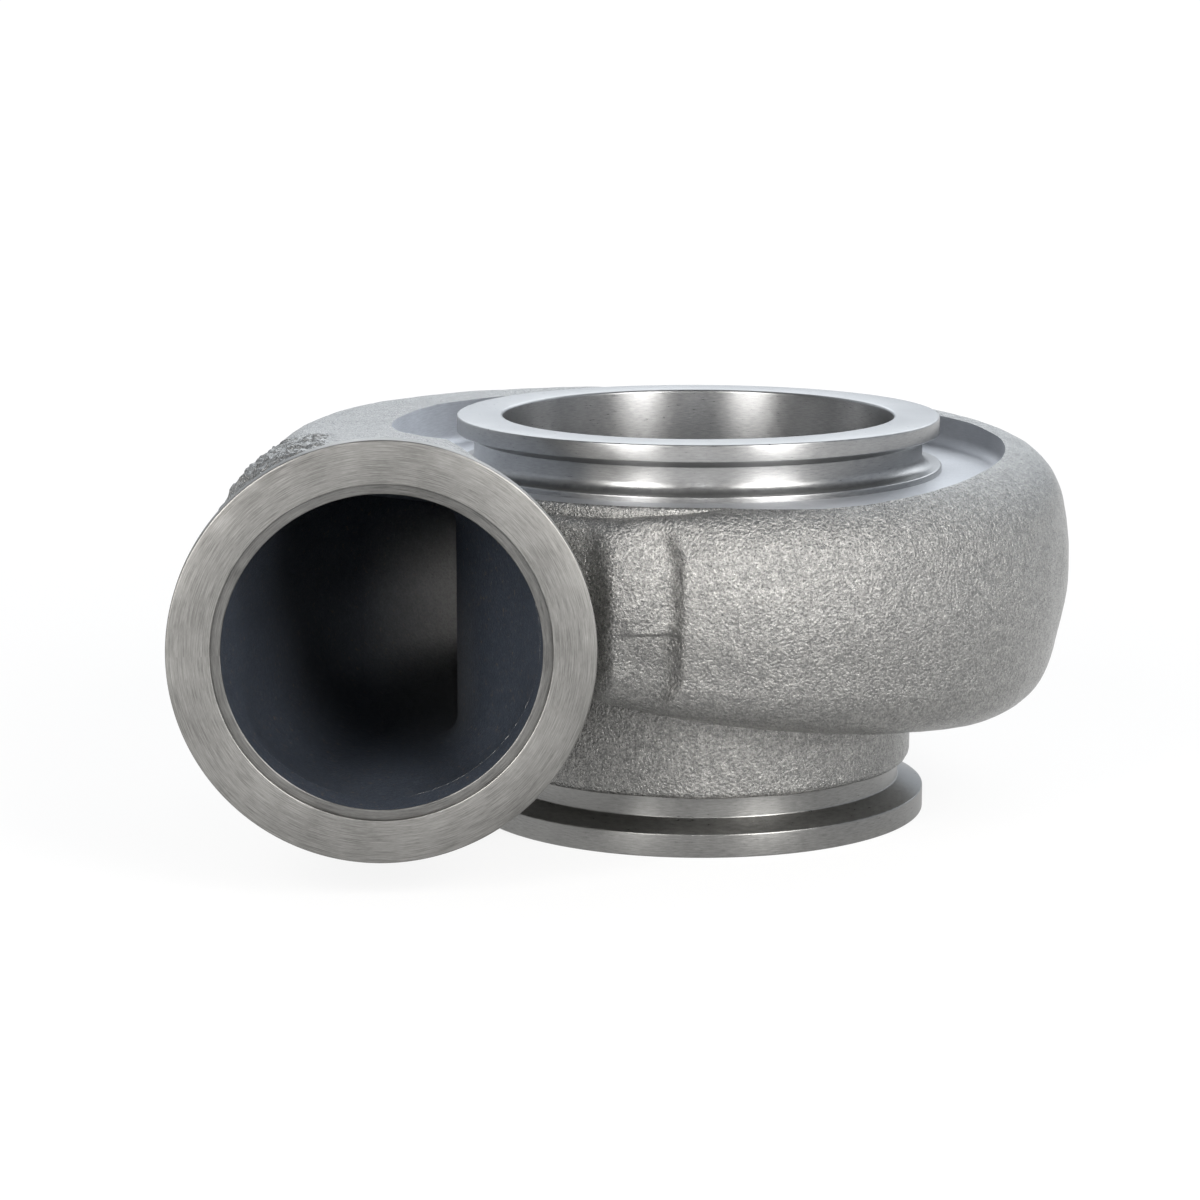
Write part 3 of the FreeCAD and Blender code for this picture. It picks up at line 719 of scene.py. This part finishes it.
@dataclass
class ScrollCasting:
    """The cast scroll with its inlet duct, collar, tongue and recess, as one skin."""

    sizes: ScrollSizes = field(default_factory=ScrollSizes)
    inlet_offset: float = 73.8
    inlet_height: float = 52.9
    duct_end: float = 72.5
    outer_ring: float = 40.4
    passage_ring: float = 33.2
    duct_rounding: float = 30.0
    tongue_front: float = 44.0
    tongue_rear: float = 53.5
    tongue_radius: float = 52.5
    hidden_outer: float = 41.0
    hidden_passage: float = 38.0
    core_radius: float = 44.0
    pilot_radius: float = 45.0
    pilot_seat: float = 75.8
    throat_roof: float = 70.8
    recess_floor: float = 79.3
    recess_radius: float = 70.5
    recess_cove: float = 2.5
    end_wall_radius: float = 63.0
    end_wall_skirt: float = 1.6
    seat_radius: float = 38.5
    collar_radius: float = 49.8
    collar_foot: float = 12.3
    collar_top: float = 52.0
    collar_overlap: float = 4.0
    spacing: float = 2.2
    # Cutting tools: the radius that they clear at least, and the height that they reach
    drill_radius: float = 20.0
    tool_top: float = 130.0
    # Shoulder: how far it reaches from the inlet's axis, and where it is drawn in
    shoulder_reach: float = 41.2
    shoulder_across: Point = (-8.0, 8.0)
    shoulder_up: Point = (0.0, 12.0)
    shoulder_end: Point = (-45.0, -15.0)
    # Roof of the tail: its least step below the recess floor, and how much deeper it gets
    roof_step: Point = (0.4, 2.2)
    roof_start: float = 68.0
    # Pad: its sides, its depth and slope, the width of its edge and its ledge at the parting line
    pad_left: float = -25.0
    pad_right: float = -9.8
    pad_slope: float = 0.45
    pad_depth: float = 4.2
    pad_ramp: float = 3.9
    pad_shift: float = 0.8
    pad_low: float = 35.5
    pad_high: float = 75.5

    # Points in each run of a section, and where the runs start on the inlet's ring, in degrees
    COUNTS = (12, 14, 9, 9, 9, 14, 12, 8, 8, 8)
    MARKS = (260, 280, 325, 350, 370, 395, 440, 460, 520, 560, 620)
    PAD_MESH = Region((-34.0, -200.0, 30.0), (-6.0, -50.0, 80.0))
    PAD = Region((-32.0, -200.0, 31.0), (-6.0, -55.0, 80.0))
    GATE = Region((-114.0, -64.0, 66.0), (-80.0, -16.0, 200.0))

    def pentagon(self, inner: float, side: float, floor: float, roofs: tuple[float, float], belly: float,
                 roundings: tuple[float, float, float, float]) -> list[Corner]:
        """The five rounded corners of a section, from its inner floor corner round the outside."""
        inner_rounding, floor_rounding, belly_rounding, shoulder_rounding = roundings
        roof_inner, roof_outer = roofs
        low_side = side - (belly - floor) * self.sizes.draft_down
        high_side = side - (roof_outer - belly) * self.sizes.draft_up
        return [
            Corner(inner, floor, inner_rounding),
            Corner(low_side, floor, floor_rounding),
            Corner(side, belly, belly_rounding),
            Corner(high_side, roof_outer, shoulder_rounding),
            Corner(inner, roof_inner, inner_rounding),
        ]

    def outer_corners(self, turn: float) -> list[Corner]:
        """Outside of the casting at this turn."""
        sizes = self.sizes
        top = sizes.along(sizes.top, turn)
        roundings = (
            sizes.inner_rounding,
            sizes.along(sizes.floor_rounding, turn),
            sizes.along(sizes.belly_rounding, turn),
            sizes.along(sizes.shoulder_rounding, turn),
        )
        return self.pentagon(self.hidden_outer, sizes.along(sizes.side, turn), sizes.along(sizes.floor, turn),
                             (top, top), sizes.along(sizes.belly, turn), roundings)

    def passage_corners(self, turn: float, inner: float) -> list[Corner]:
        """Gas passage at this turn, one wall inside the casting."""
        sizes = self.sizes
        side = sizes.along(sizes.side, turn) - sizes.wall
        roof_outer = self.throat_roof + (side - self.core_radius) * sizes.roof_rise
        roundings = (
            sizes.inner_rounding,
            sizes.along(sizes.floor_rounding, turn) - sizes.wall * 0.6,
            sizes.along(sizes.belly_rounding, turn) * 0.5,
            sizes.along(sizes.shoulder_rounding, turn) - sizes.wall,
        )
        return self.pentagon(inner, side, sizes.along(sizes.floor, turn) + sizes.wall,
                             (self.throat_roof, roof_outer), sizes.along(sizes.belly, turn), roundings)

    def duct_corners(self, reach: float, ring: float, corners: list[Corner],
                     inner: Optional[float]) -> list[Corner]:
        """Section of the duct between the scroll's first section and the inlet's ring.

        Args:
            reach: How far in front of the turbine axis it stands.
            ring: Radius of the ring at the inlet.
            corners: The scroll's first section.
            inner: Where its inner side stands, or None for the straight blend.

        Returns:
            The section's corners.
        """
        share = reach / self.duct_end
        offset, axis = self.inlet_offset, self.inlet_height
        rounding = self.duct_rounding - (self.outer_ring - ring)
        goals = [(offset - ring, axis - ring), (offset + ring, axis - ring), (offset + ring, axis),
                 (offset + ring, axis + ring), (offset - ring, axis + ring)]
        placed = []
        for corner, (across, up) in zip(corners, goals):
            placed.append(Corner(corner.across + (across - corner.across) * share,
                                 corner.up + (up - corner.up) * share,
                                 corner.rounding + (rounding - corner.rounding) * share))
        if inner is not None:
            placed[0] = Corner(inner, placed[0].up, placed[0].rounding)
            placed[4] = Corner(inner, placed[4].up, placed[4].rounding)
        return placed

    def sampled(self, corners: list[Corner]) -> list[Point]:
        """A section's points, in ten runs that begin on its floor."""
        arcs = [corner_arc(corners[i - 1], corners[i], corners[(i + 1) % 5], 3) for i in range(5)]
        points: list[Point] = []
        for i in range(5):
            line_count, arc_count = self.COUNTS[2 * i], self.COUNTS[2 * i + 1]
            start, end = arcs[i][-1], arcs[(i + 1) % 5][0]
            for step in range(line_count):
                share = step / line_count
                points.append((start[0] + (end[0] - start[0]) * share, start[1] + (end[1] - start[1]) * share))
            nearby = corner_arc(corners[i], corners[(i + 1) % 5], corners[(i + 2) % 5], arc_count + 1)
            points += nearby[:-1]
        return points

    def ring_points(self, radius: float) -> list[Point]:
        """The inlet's ring, in ten runs that match those of a section."""
        points = []
        for run, count in enumerate(self.COUNTS):
            for step in range(count):
                mark = self.MARKS[run] + (self.MARKS[run + 1] - self.MARKS[run]) * step / count
                angle = math.radians(mark)
                points.append((self.inlet_offset + radius * math.cos(angle),
                               self.inlet_height + radius * math.sin(angle)))
        return points

    @staticmethod
    def at_turn(points: list[Point], turn: float) -> list[tuple[float, float, float]]:
        """Stand a section in the half-plane of the turbine axis at this turn."""
        angle = math.radians(turn)
        cos, sin = (-1.0, 0.0) if turn == 180 else (math.cos(angle), math.sin(angle))
        return [(-radius * cos, radius * sin, up) for radius, up in points]

    @staticmethod
    def at_duct(points: list[Point], reach: float) -> list[tuple[float, float, float]]:
        """Stand a section square across the inlet duct."""
        return [(-across, -reach, up) for across, up in points]

    def halves(self, stations: list[list[tuple[float, float, float]]],
               split: int) -> tuple[np.ndarray, np.ndarray]:
        """Loops through the stations, in two lengths that share one station.

        Args:
            stations: The sections that the skin passes through.
            split: Number of the shared station.

        Returns:
            The loops of the first and of the second length.
        """
        keys = np.array(stations, float)
        chords = np.linalg.norm(np.diff(keys, axis=0), axis=2).mean(axis=1)
        places = np.concatenate([[0.0], np.cumsum(chords)])
        lengths = []
        for low, high in ((0, split), (split, len(keys) - 1)):
            at = [places[low]]
            for i in range(low, high):
                steps = max(2, round((places[i + 1] - places[i]) / self.spacing))
                at += list(np.linspace(places[i], places[i + 1], steps + 1)[1:])
            loops = spline_through(keys, places, np.array(at))
            loops[0], loops[-1] = keys[low], keys[high]
            lengths.append(loops)
        return lengths[0], lengths[1]

    @staticmethod
    def ring(name: str, surface: Surface, corners: list[Corner], arc: int = 5,
             steps: int = 256) -> bpy.types.Object:
        """A turned solid that is worked into the casting.

        Args:
            name: Name of the new piece.
            surface: The kind of surface that it leaves.
            corners: Its outline.
            arc: Points in each rounding.
            steps: Steps in the full turn.

        Returns:
            The new piece.
        """
        piece = Bench.turn(name, rounded(corners, arc), TurnAxis.TURBINE, steps=steps)
        Bench.paint(piece, surface)
        return piece

    def outside(self) -> bpy.types.Object:
        """The raw casting's outside: the duct and scroll, the tail and the collar in one solid."""
        first = self.outer_corners(0)
        stations = [self.at_duct(self.ring_points(self.outer_ring), self.duct_end)]
        for reach in (50.0, 25.0):
            section = self.duct_corners(reach, self.outer_ring, first, None)
            stations.append(self.at_duct(self.sampled(section), reach))
        turns = list(range(0, 360, 30)) + [358]
        stations += [self.at_turn(self.sampled(self.outer_corners(turn)), turn) for turn in turns]
        loops, tail_loops = self.halves(stations, 3 + turns.index(180))
        body = Bench.loft("scroll_casting", loops)
        tail = Bench.loft("scroll_tail", tail_loops)
        self.trim_shoulder(body)
        self.sculpt_gate(body)
        self.sculpt_pad(tail)
        for solid in (body, tail):
            Bench.paint(solid, Surface.CAST)
        Bench.work_in(body, tail, Join.ADD)
        collar = self.ring("collar", Surface.CAST, [
            Corner(self.core_radius - self.collar_overlap, self.collar_foot),
            Corner(self.collar_radius, self.collar_foot, 1.6),
            Corner(self.collar_radius, self.collar_top),
            Corner(self.core_radius - self.collar_overlap, self.collar_top),
        ], steps=192)
        Bench.work_in(body, collar, Join.ADD)
        return body

    def trim_shoulder(self, body: bpy.types.Object) -> None:
        """Draw in the duct's shoulder beside the centre flange, so that the inlet's rim hides it."""
        for vertex in body.data.vertices:
            point = vertex.co / MM
            across, up = point.x + self.inlet_offset, point.z - self.inlet_height
            reach = math.hypot(across, up)
            if across < self.shoulder_across[0] or up < 0 or reach < self.shoulder_reach:
                continue
            share = smooth_step(*self.shoulder_across, across) * smooth_step(*self.shoulder_up, up)
            share *= 1 - smooth_step(*self.shoulder_end, point.y)
            drawn = 1 - share * (reach - self.shoulder_reach) / reach
            vertex.co.x = (across * drawn - self.inlet_offset) * MM
            vertex.co.z = (up * drawn + self.inlet_height) * MM

    def roof_lift(self, point: Vector) -> float:
        """How far the tail's roof rises at a point to meet the recess floor."""
        if point.z <= self.roof_start:
            return 0.0
        least, more = self.roof_step
        step = least + more * (1 - smooth_step(-27, 2, point.x))
        out = math.hypot(point.x, point.y)
        lift = (self.recess_floor - step - point.z) * (1 - smooth_step(63.0, 71, out))
        if lift < 0:
            lift *= 1 - smooth_step(-12, 2, point.x)
        return lift * smooth_step(self.roof_start, 73, point.z)

    def pad_step(self, point: Vector) -> float:
        """How far the pad lies behind the scroll's skin at a point."""
        if not self.PAD.holds(point):
            return 0.0
        line = self.inlet_height
        ledge = self.pad_shift * (1 - smooth_step(line - 0.4, line + 0.4, point.z))
        ledge *= smooth_step(self.pad_left, self.pad_left + 5.0, point.x)
        wave = 0.3 * noise.noise(point / 5.0)
        flat = self.pad_slope * (point.x - self.pad_right) + self.pad_depth + ledge + wave
        edge = self.pad_right - 2.4 * smooth_step(69, 76, point.z) - 2.2 * (1 - smooth_step(36, 44, point.z))
        edge += 0.4 * noise.noise(point / 9.0)
        width = self.pad_ramp + 1.2 * (1 - smooth_step(line - 3, line, point.z))
        ramp = min(1.0, max(0.0, (edge - point.x) / width))
        right = smooth_step(0.0, 1.0, ramp ** 0.8)
        left = smooth_step(self.pad_left - 5.0, self.pad_left + 0.6, point.x)
        up = smooth_step(self.pad_low - 4, self.pad_low + 4, point.z)
        up *= 1 - smooth_step(self.pad_high - 5, self.pad_high + 2, point.z)
        return flat * right * left * up

    def sculpt_pad(self, tail: bpy.types.Object) -> None:
        """Press the soft-edged pad, with its ledge at the parting line, into the end of the scroll."""
        Bench.refine(tail, self.PAD_MESH, 4)
        for vertex in tail.data.vertices:
            point = vertex.co / MM
            vertex.co.z += self.roof_lift(point) * MM
            vertex.co.y += self.pad_step(point) * MM

    def sculpt_gate(self, body: bpy.types.Object) -> None:
        """Raise the rough stub that is left of the gate on top of the duct."""
        Bench.refine(body, self.GATE, 3)
        normals = [vertex.normal.copy() for vertex in body.data.vertices]
        for vertex, normal in zip(body.data.vertices, normals):
            point = vertex.co / MM
            if not self.GATE.holds(point):
                continue
            across = smooth_step(-113, -108, point.x) * (1 - smooth_step(-88, -81, point.x))
            along = smooth_step(-63, -56, point.y) * (1 - smooth_step(-24, -17, point.y))
            torn = 0.7 * noise.noise(point / 1.2) + 1.1 * noise.noise(point / 3.4) - 0.35
            torn *= smooth_step(66, 70, point.z)
            vertex.co += normal * (across * along * torn * MM)

    def passages(self) -> bpy.types.Object:
        """The gas way from the inlet round to the tongue, as one solid tool."""
        first = self.passage_corners(0, self.tongue_radius)
        ring = self.ring_points(self.passage_ring)
        stations = [self.at_duct(ring, self.duct_end)]
        for reach, inner in ((50.0, self.tongue_front), (25.0, self.tongue_rear)):
            section = self.duct_corners(reach, self.passage_ring, first, inner)
            stations.append(self.at_duct(self.sampled(section), reach))
        stations.append(self.at_turn(self.sampled(first), 0))
        turns = [12] + list(range(30, 360, 30)) + [352, 372]
        for turn in turns:
            corners = self.passage_corners(turn, self.hidden_passage)
            stations.append(self.at_turn(self.sampled(corners), turn))
        loops, tail_loops = self.halves(stations, 4 + turns.index(180))
        mouth = np.array(self.at_duct(ring, self.duct_end + 3), float)[None]
        way = Bench.loft("gas_way", np.concatenate([mouth, loops]))
        tail = Bench.loft("gas_way_tail", tail_loops)
        Bench.work_in(way, tail, Join.ADD)
        Bench.paint(way, Surface.GAS_WAY)
        return way

    def build(self) -> None:
        """Cast, bore and machine the scroll."""
        body = self.outside()
        Bench.roughen(body, 9.0, 0.22, 3.0)
        Bench.roughen(body, 3.2, 0.07, 11.0)
        recess = self.ring("recess", Surface.TURNED, [
            Corner(self.drill_radius, self.recess_floor),
            Corner(self.recess_radius, self.recess_floor, self.recess_cove),
            Corner(self.recess_radius, self.tool_top),
            Corner(self.drill_radius, self.tool_top),
        ], arc=7)
        Bench.work_in(body, recess, Join.TAKE_AWAY)
        end_wall = self.ring("end_wall", Surface.TURNED, [
            Corner(self.seat_radius, self.throat_roof, 0.7),
            Corner(self.end_wall_radius + self.end_wall_skirt, self.throat_roof),
            Corner(self.end_wall_radius, self.recess_floor, 1.1),
            Corner(self.seat_radius, self.recess_floor),
        ])
        for face in end_wall.data.polygons:
            if math.hypot(face.center.x, face.center.y) > (self.end_wall_radius - 0.9) * MM:
                face.material_index = Surface.CAST.value
        Bench.work_in(body, end_wall, Join.ADD)
        Bench.work_in(body, self.passages(), Join.TAKE_AWAY)
        core = self.ring("core", Surface.TURNED, [
            Corner(self.drill_radius, -5.0),
            Corner(self.core_radius, -5.0),
            Corner(self.core_radius, self.throat_roof),
            Corner(self.seat_radius, self.throat_roof),
            Corner(self.seat_radius, self.pilot_seat, 0.7),
            Corner(self.pilot_radius, self.pilot_seat),
            Corner(self.pilot_radius, self.tool_top),
            Corner(self.drill_radius, self.tool_top),
        ])
        Bench.work_in(body, core, Join.TAKE_AWAY)
        Bench.take(body)
        bpy.ops.object.shade_smooth_by_angle(angle=math.radians(35))
        Bench.hand_over(body, "cast_skin", "bearing_end_wall", "outlet_neck", "volute_upper_rear",
                        "volute_upper_front", "volute_lower_rear", "volute_lower_front",
                        "inlet_duct_upper", "inlet_duct_lower", "scroll_tongue", "tongue_pad_upper",
                        "tongue_pad_lower", "gate_stub")


@dataclass(frozen=True)
class VBandEnd:
    """Sizes of a machined end in millimetres: radii of bore, neck and rim, and heights from its face."""

    bore: float
    neck: float
    rim: float
    rim_height: float
    length: float


@dataclass
class FlangeSet:
    """The three turned V-band ends and the shroud that the wheel runs in."""

    outlet_end: VBandEnd = VBandEnd(38.1, 47.1, 53.0, 5.3, 12.3)
    inlet_end: VBandEnd = VBandEnd(33.2, 40.4, 44.5, 4.6, 11.0)
    inlet_face: tuple[float, float, float] = (-73.8, -83.5, 52.9)
    inlet_step_radius: float = 35.3
    inlet_step_depth: float = 0.9
    centre_bore: float = 45.0
    centre_neck: float = 51.6
    centre_rim: float = 55.5
    centre_rim_foot: float = 88.0
    centre_face: float = 91.8
    foot_radius: float = 56.1
    foot_low: float = 79.3
    foot_high: float = 80.7
    shroud_radius: float = 44.0
    shroud_lip: float = 59.8
    wheel_bore: float = 30.8
    wheel_bore_foot: float = 42.0
    diffuser: tuple[Corner, Corner] = (Corner(33.72, 30.0), Corner(38.1, 14.0))
    slope: float = 0.385
    edge: float = 0.4
    mouth: float = 0.7

    def dress(self, piece: bpy.types.Object, *finishes: bpy.types.Material) -> None:
        """Give a turned ring its finishes and its smooth shading."""
        piece.data.materials.clear()
        for finish in finishes:
            piece.data.materials.append(finish)
        Bench.take(piece)
        bpy.ops.object.shade_smooth_by_angle(angle=math.radians(25))

    def back_of(self, end: VBandEnd) -> list[Corner]:
        """Outline of an end behind its face: rim, tapered back and neck."""
        groove = end.rim_height + (end.rim - end.neck) * self.slope
        return [
            Corner(end.rim, 0.0, self.edge),
            Corner(end.rim, end.rim_height, self.edge),
            Corner(end.neck, groove, 0.4),
            Corner(end.neck, end.length),
            Corner(end.bore, end.length),
        ]

    def centre(self) -> None:
        """The bearing housing end: rim, tapered back, neck and foot ring."""
        groove = self.centre_rim_foot - (self.centre_rim - self.centre_neck) * self.slope
        outline = rounded([
            Corner(self.centre_bore, self.foot_low),
            Corner(self.foot_radius, self.foot_low),
            Corner(self.foot_radius, self.foot_high, self.edge),
            Corner(self.centre_neck, self.foot_high, 2.4),
            Corner(self.centre_neck, groove, 0.3),
            Corner(self.centre_rim, self.centre_rim_foot, self.edge),
            Corner(self.centre_rim, self.centre_face, self.edge),
            Corner(self.centre_bore, self.centre_face, self.mouth),
        ], 7)
        piece = Bench.turn("centre_flange", outline, TurnAxis.TURBINE, steps=256)
        self.dress(piece, Turned(TurnAxis.TURBINE).make("turned_centre_iron"))
        Bench.hand_over(piece, "machined_face", "centre_flange_rim", "centre_flange_neck")

    def outlet(self) -> None:
        """The outlet end: rim, tapered back and neck."""
        end = self.outlet_end
        outline = rounded([Corner(end.bore, 0.0, self.mouth), *self.back_of(end)], 7)
        piece = Bench.turn("outlet_flange", outline, TurnAxis.TURBINE, steps=256)
        # Painted shade: the outlet end is a darker copy of the turned iron, low down by the floor.
        finish = Turned(TurnAxis.TURBINE, dark=(0.20, 0.199, 0.194), light=(0.36, 0.357, 0.348))
        self.dress(piece, finish.make("turned_outlet_iron_painted_shade"))
        Bench.hand_over(piece, "machined_face", "outlet_flange_rim", "outlet_flange_neck")

    def inlet(self) -> None:
        """The inlet end: face with its small locating step, rim, tapered back and neck."""
        end = self.inlet_end
        outline = rounded([
            Corner(end.bore, self.inlet_step_depth, 0.3),
            Corner(self.inlet_step_radius, self.inlet_step_depth),
            Corner(self.inlet_step_radius, 0.0, 0.3),
            *self.back_of(end),
        ], 5)
        piece = Bench.turn("inlet_flange", outline, TurnAxis.INLET, steps=256, centre=self.inlet_face)
        face_finish = Turned(TurnAxis.INLET, dark=(0.13, 0.128, 0.122), light=(0.385, 0.379, 0.365),
                             roughness=(0.34, 0.46), centre=self.inlet_face, across=0.35, marks=5200.0,
                             lay=6.0, pits=1.0)
        # Painted shade: the recessed locating step is a darker copy of the face's finish.
        step_shade_finish = replace(face_finish, dark=(0.07, 0.07, 0.067), light=(0.25, 0.247, 0.24))
        self.dress(piece, face_finish.make("turned_inlet_iron"), Finishes.of(Surface.GAS_WAY),
                   step_shade_finish.make("turned_inlet_step_iron_painted_shade"))
        for face in piece.data.polygons:
            out = math.hypot(face.center.x / MM - self.inlet_face[0], face.center.z / MM - self.inlet_face[2])
            # The bore takes the gas way's darker tones, as painted shade.
            if out < end.bore + 0.05:
                face.material_index = 1
            elif out < self.inlet_step_radius + 0.05:
                face.material_index = 2
        Bench.hand_over(piece, "machined_face", "inlet_flange_rim", "inlet_flange_neck")

    def shroud(self) -> None:
        """The wheel's shroud and the widening outlet below it."""
        end = self.outlet_end
        outline = rounded([
            Corner(end.bore, end.length),
            Corner(self.shroud_radius, end.length),
            Corner(self.shroud_radius, self.shroud_lip, 3.0),
            Corner(self.wheel_bore, self.shroud_lip, 8.0),
            Corner(self.wheel_bore, self.wheel_bore_foot),
            *self.diffuser,
        ], 9)
        piece = Bench.turn("wheel_shroud_ring", outline, TurnAxis.TURBINE, steps=192)
        # Painted shade: a darker copy of the turned iron, deep inside the housing.
        finish = Turned(TurnAxis.TURBINE, dark=(0.18, 0.178, 0.175), light=(0.34, 0.335, 0.325))
        self.dress(piece, finish.make("turned_shroud_iron_painted_shade"))
        Bench.hand_over(piece, "cast_skin", "wheel_shroud")

    def build(self) -> None:
        """Turn all four rings."""
        self.centre()
        self.outlet()
        self.inlet()
        self.shroud()


# Studio


@dataclass(frozen=True)
class SoftBox:
    """A soft lamp: its place and size in metres, the point it looks at, and its power."""

    name: str
    place: tuple[float, float, float]
    width: float
    height: float
    power: float
    colour: Rgb = (1.0, 1.0, 1.0)
    target: tuple[float, float, float] = (0.0, 0.0, 0.05)

    def set_up(self) -> None:
        """Put the lamp in the scene."""
        data = bpy.data.lights.new(self.name, "AREA")
        data.shape = "RECTANGLE"
        data.size = self.width
        data.size_y = self.height
        data.energy = self.power
        data.color = self.colour
        lamp = bpy.data.objects.new(self.name, data)
        lamp.location = self.place
        aim = Vector(self.target) - Vector(self.place)
        lamp.rotation_euler = aim.to_track_quat("-Z", "Y").to_euler()
        bpy.context.scene.collection.objects.link(lamp)


@dataclass
class Studio:
    """Floor, world, lamps and camera.

    The room's tones go round from the front by the left, and rise from below to above. The floor mirrors
    darker round the shade's place, as a floor does in the shadow of the part.
    """

    camera_place: tuple[float, float, float] = (-0.07813, -0.74668, 0.18642)
    camera_look: tuple[float, float, float] = (0.0729, 0.9807, -0.1815)
    lens: float = 98.29
    floor_white: float = 1.045
    shade_place: tuple[float, float, float] = (0.06, -0.13, 0.0)
    room_round: tuple[tuple[float, Rgb], ...] = (
        (0.0, (0.16, 0.16, 0.162)),
        (0.12, (0.15, 0.15, 0.15)),
        (0.25, (0.28, 0.29, 0.30)),
        (0.36, (0.72, 0.76, 0.81)),
        (0.50, (0.73, 0.78, 0.85)),
        (0.66, (0.72, 0.77, 0.83)),
        (0.76, (0.62, 0.66, 0.72)),
        (0.88, (0.36, 0.37, 0.38)),
        (1.0, (0.16, 0.16, 0.162)),
    )
    room_rise: tuple[tuple[float, Rgb], ...] = (
        (0.42, (0.45, 0.45, 0.45)),
        (0.60, (1.0, 1.0, 1.0)),
        (0.80, (0.72, 0.72, 0.72)),
        (0.97, (0.42, 0.42, 0.42)),
    )
    lamps: tuple[SoftBox, ...] = (
        SoftBox("left_box", (-0.62, -0.785, 0.46), 0.42, 0.85, 10.0, (1.0, 0.985, 0.96)),
        SoftBox("right_box", (0.495, -0.87, 0.46), 0.40, 0.85, 9.2, (1.0, 0.985, 0.96)),
        SoftBox("high_box", (0.62, -0.62, 0.62), 0.30, 0.30, 1.6, (1.0, 0.985, 0.96)),
        SoftBox("middle_strip", (-0.075, -1.05, 0.45), 0.03, 0.8, 0.8),
        SoftBox("back_box", (0.35, 1.0, 0.75), 1.6, 0.8, 7.0, (0.93, 0.97, 1.0)),
    )

    def floor(self) -> None:
        """A plain pale floor that looks white, keeps a faint shadow and mirrors darker close in front."""
        Bench.clear()
        bpy.ops.mesh.primitive_plane_add(size=400.0, location=(0.0, 0.0, 0.0))
        plane = bpy.context.object
        plane.name = "studio_floor"
        graph = Graph("studio_floor_white")
        graph.wire(Base_Color=(0.8, 0.8, 0.8), Roughness=0.9)
        rays = graph.add("ShaderNodeLightPath").outputs
        reach = graph.vector("DISTANCE", graph.place, self.shade_place, result="Value")
        shade = graph.math("MULTIPLY", rays["Is Glossy Ray"], graph.spread(reach, 0.07, 0.22, 0.50, 0.0))
        strength = graph.math("SUBTRACT", self.floor_white, shade)
        glow = graph.add("ShaderNodeEmission", {"Color": (1.0, 1.0, 1.0), "Strength": strength})
        seen = graph.math("MAXIMUM", rays["Is Camera Ray"], rays["Is Glossy Ray"])
        seen = graph.math("MAXIMUM", seen, rays["Is Transmission Ray"])
        away = graph.vector("LENGTH", graph.place, result="Value")
        share = graph.math("MULTIPLY", seen, graph.spread(away, 0.25, 0.9, 0.82, 1.0))
        blend = graph.add("ShaderNodeMixShader", {0: share, 1: graph.shader.outputs[0], 2: glow.outputs[0]})
        graph.feed(graph.nodes["Material Output"].inputs["Surface"], blend.outputs[0])
        plane.data.materials.append(graph.material)

    def world(self) -> None:
        """A soft grey room, dim in front and bright behind and above."""
        world = bpy.data.worlds.new("studio_world")
        bpy.context.scene.world = world
        world.use_nodes = True
        writer = NodeWriter(world.node_tree)
        parts = writer.apart(writer.add("ShaderNodeTexCoord").outputs["Generated"])
        turn = writer.spread(writer.math("ARCTAN2", parts["X"], parts["Y"]), -math.pi, math.pi, 0.0, 1.0)
        rise = writer.spread(parts["Z"], -1.0, 1.0, 0.0, 1.0)
        tones = writer.ramp(turn, self.room_round), writer.ramp(rise, self.room_rise)
        writer.feed(writer.nodes["Background"].inputs["Color"], writer.mix(1.0, *tones, "MULTIPLY"))

    def camera(self) -> None:
        """The camera that took the picture."""
        data = bpy.data.cameras.new("camera")
        data.lens = self.lens
        data.sensor_width = 36.0
        data.clip_start = 0.01
        data.clip_end = 500.0
        item = bpy.data.objects.new("camera", data)
        item.location = self.camera_place
        item.rotation_euler = Vector(self.camera_look).to_track_quat("-Z", "Y").to_euler()
        bpy.context.scene.collection.objects.link(item)
        bpy.context.scene.camera = item

    def build(self) -> None:
        """Set up the whole studio."""
        self.floor()
        self.world()
        for lamp in self.lamps:
            lamp.set_up()
        self.camera()
        bpy.context.scene.view_settings.view_transform = "Standard"


def main() -> None:
    """Build the housing and the studio round it."""
    logging.basicConfig(level=logging.INFO, format="%(name)s %(message)s")
    ScrollCasting().build()
    FlangeSet().build()
    Studio().build()


if __name__ == "__main__":
    main()
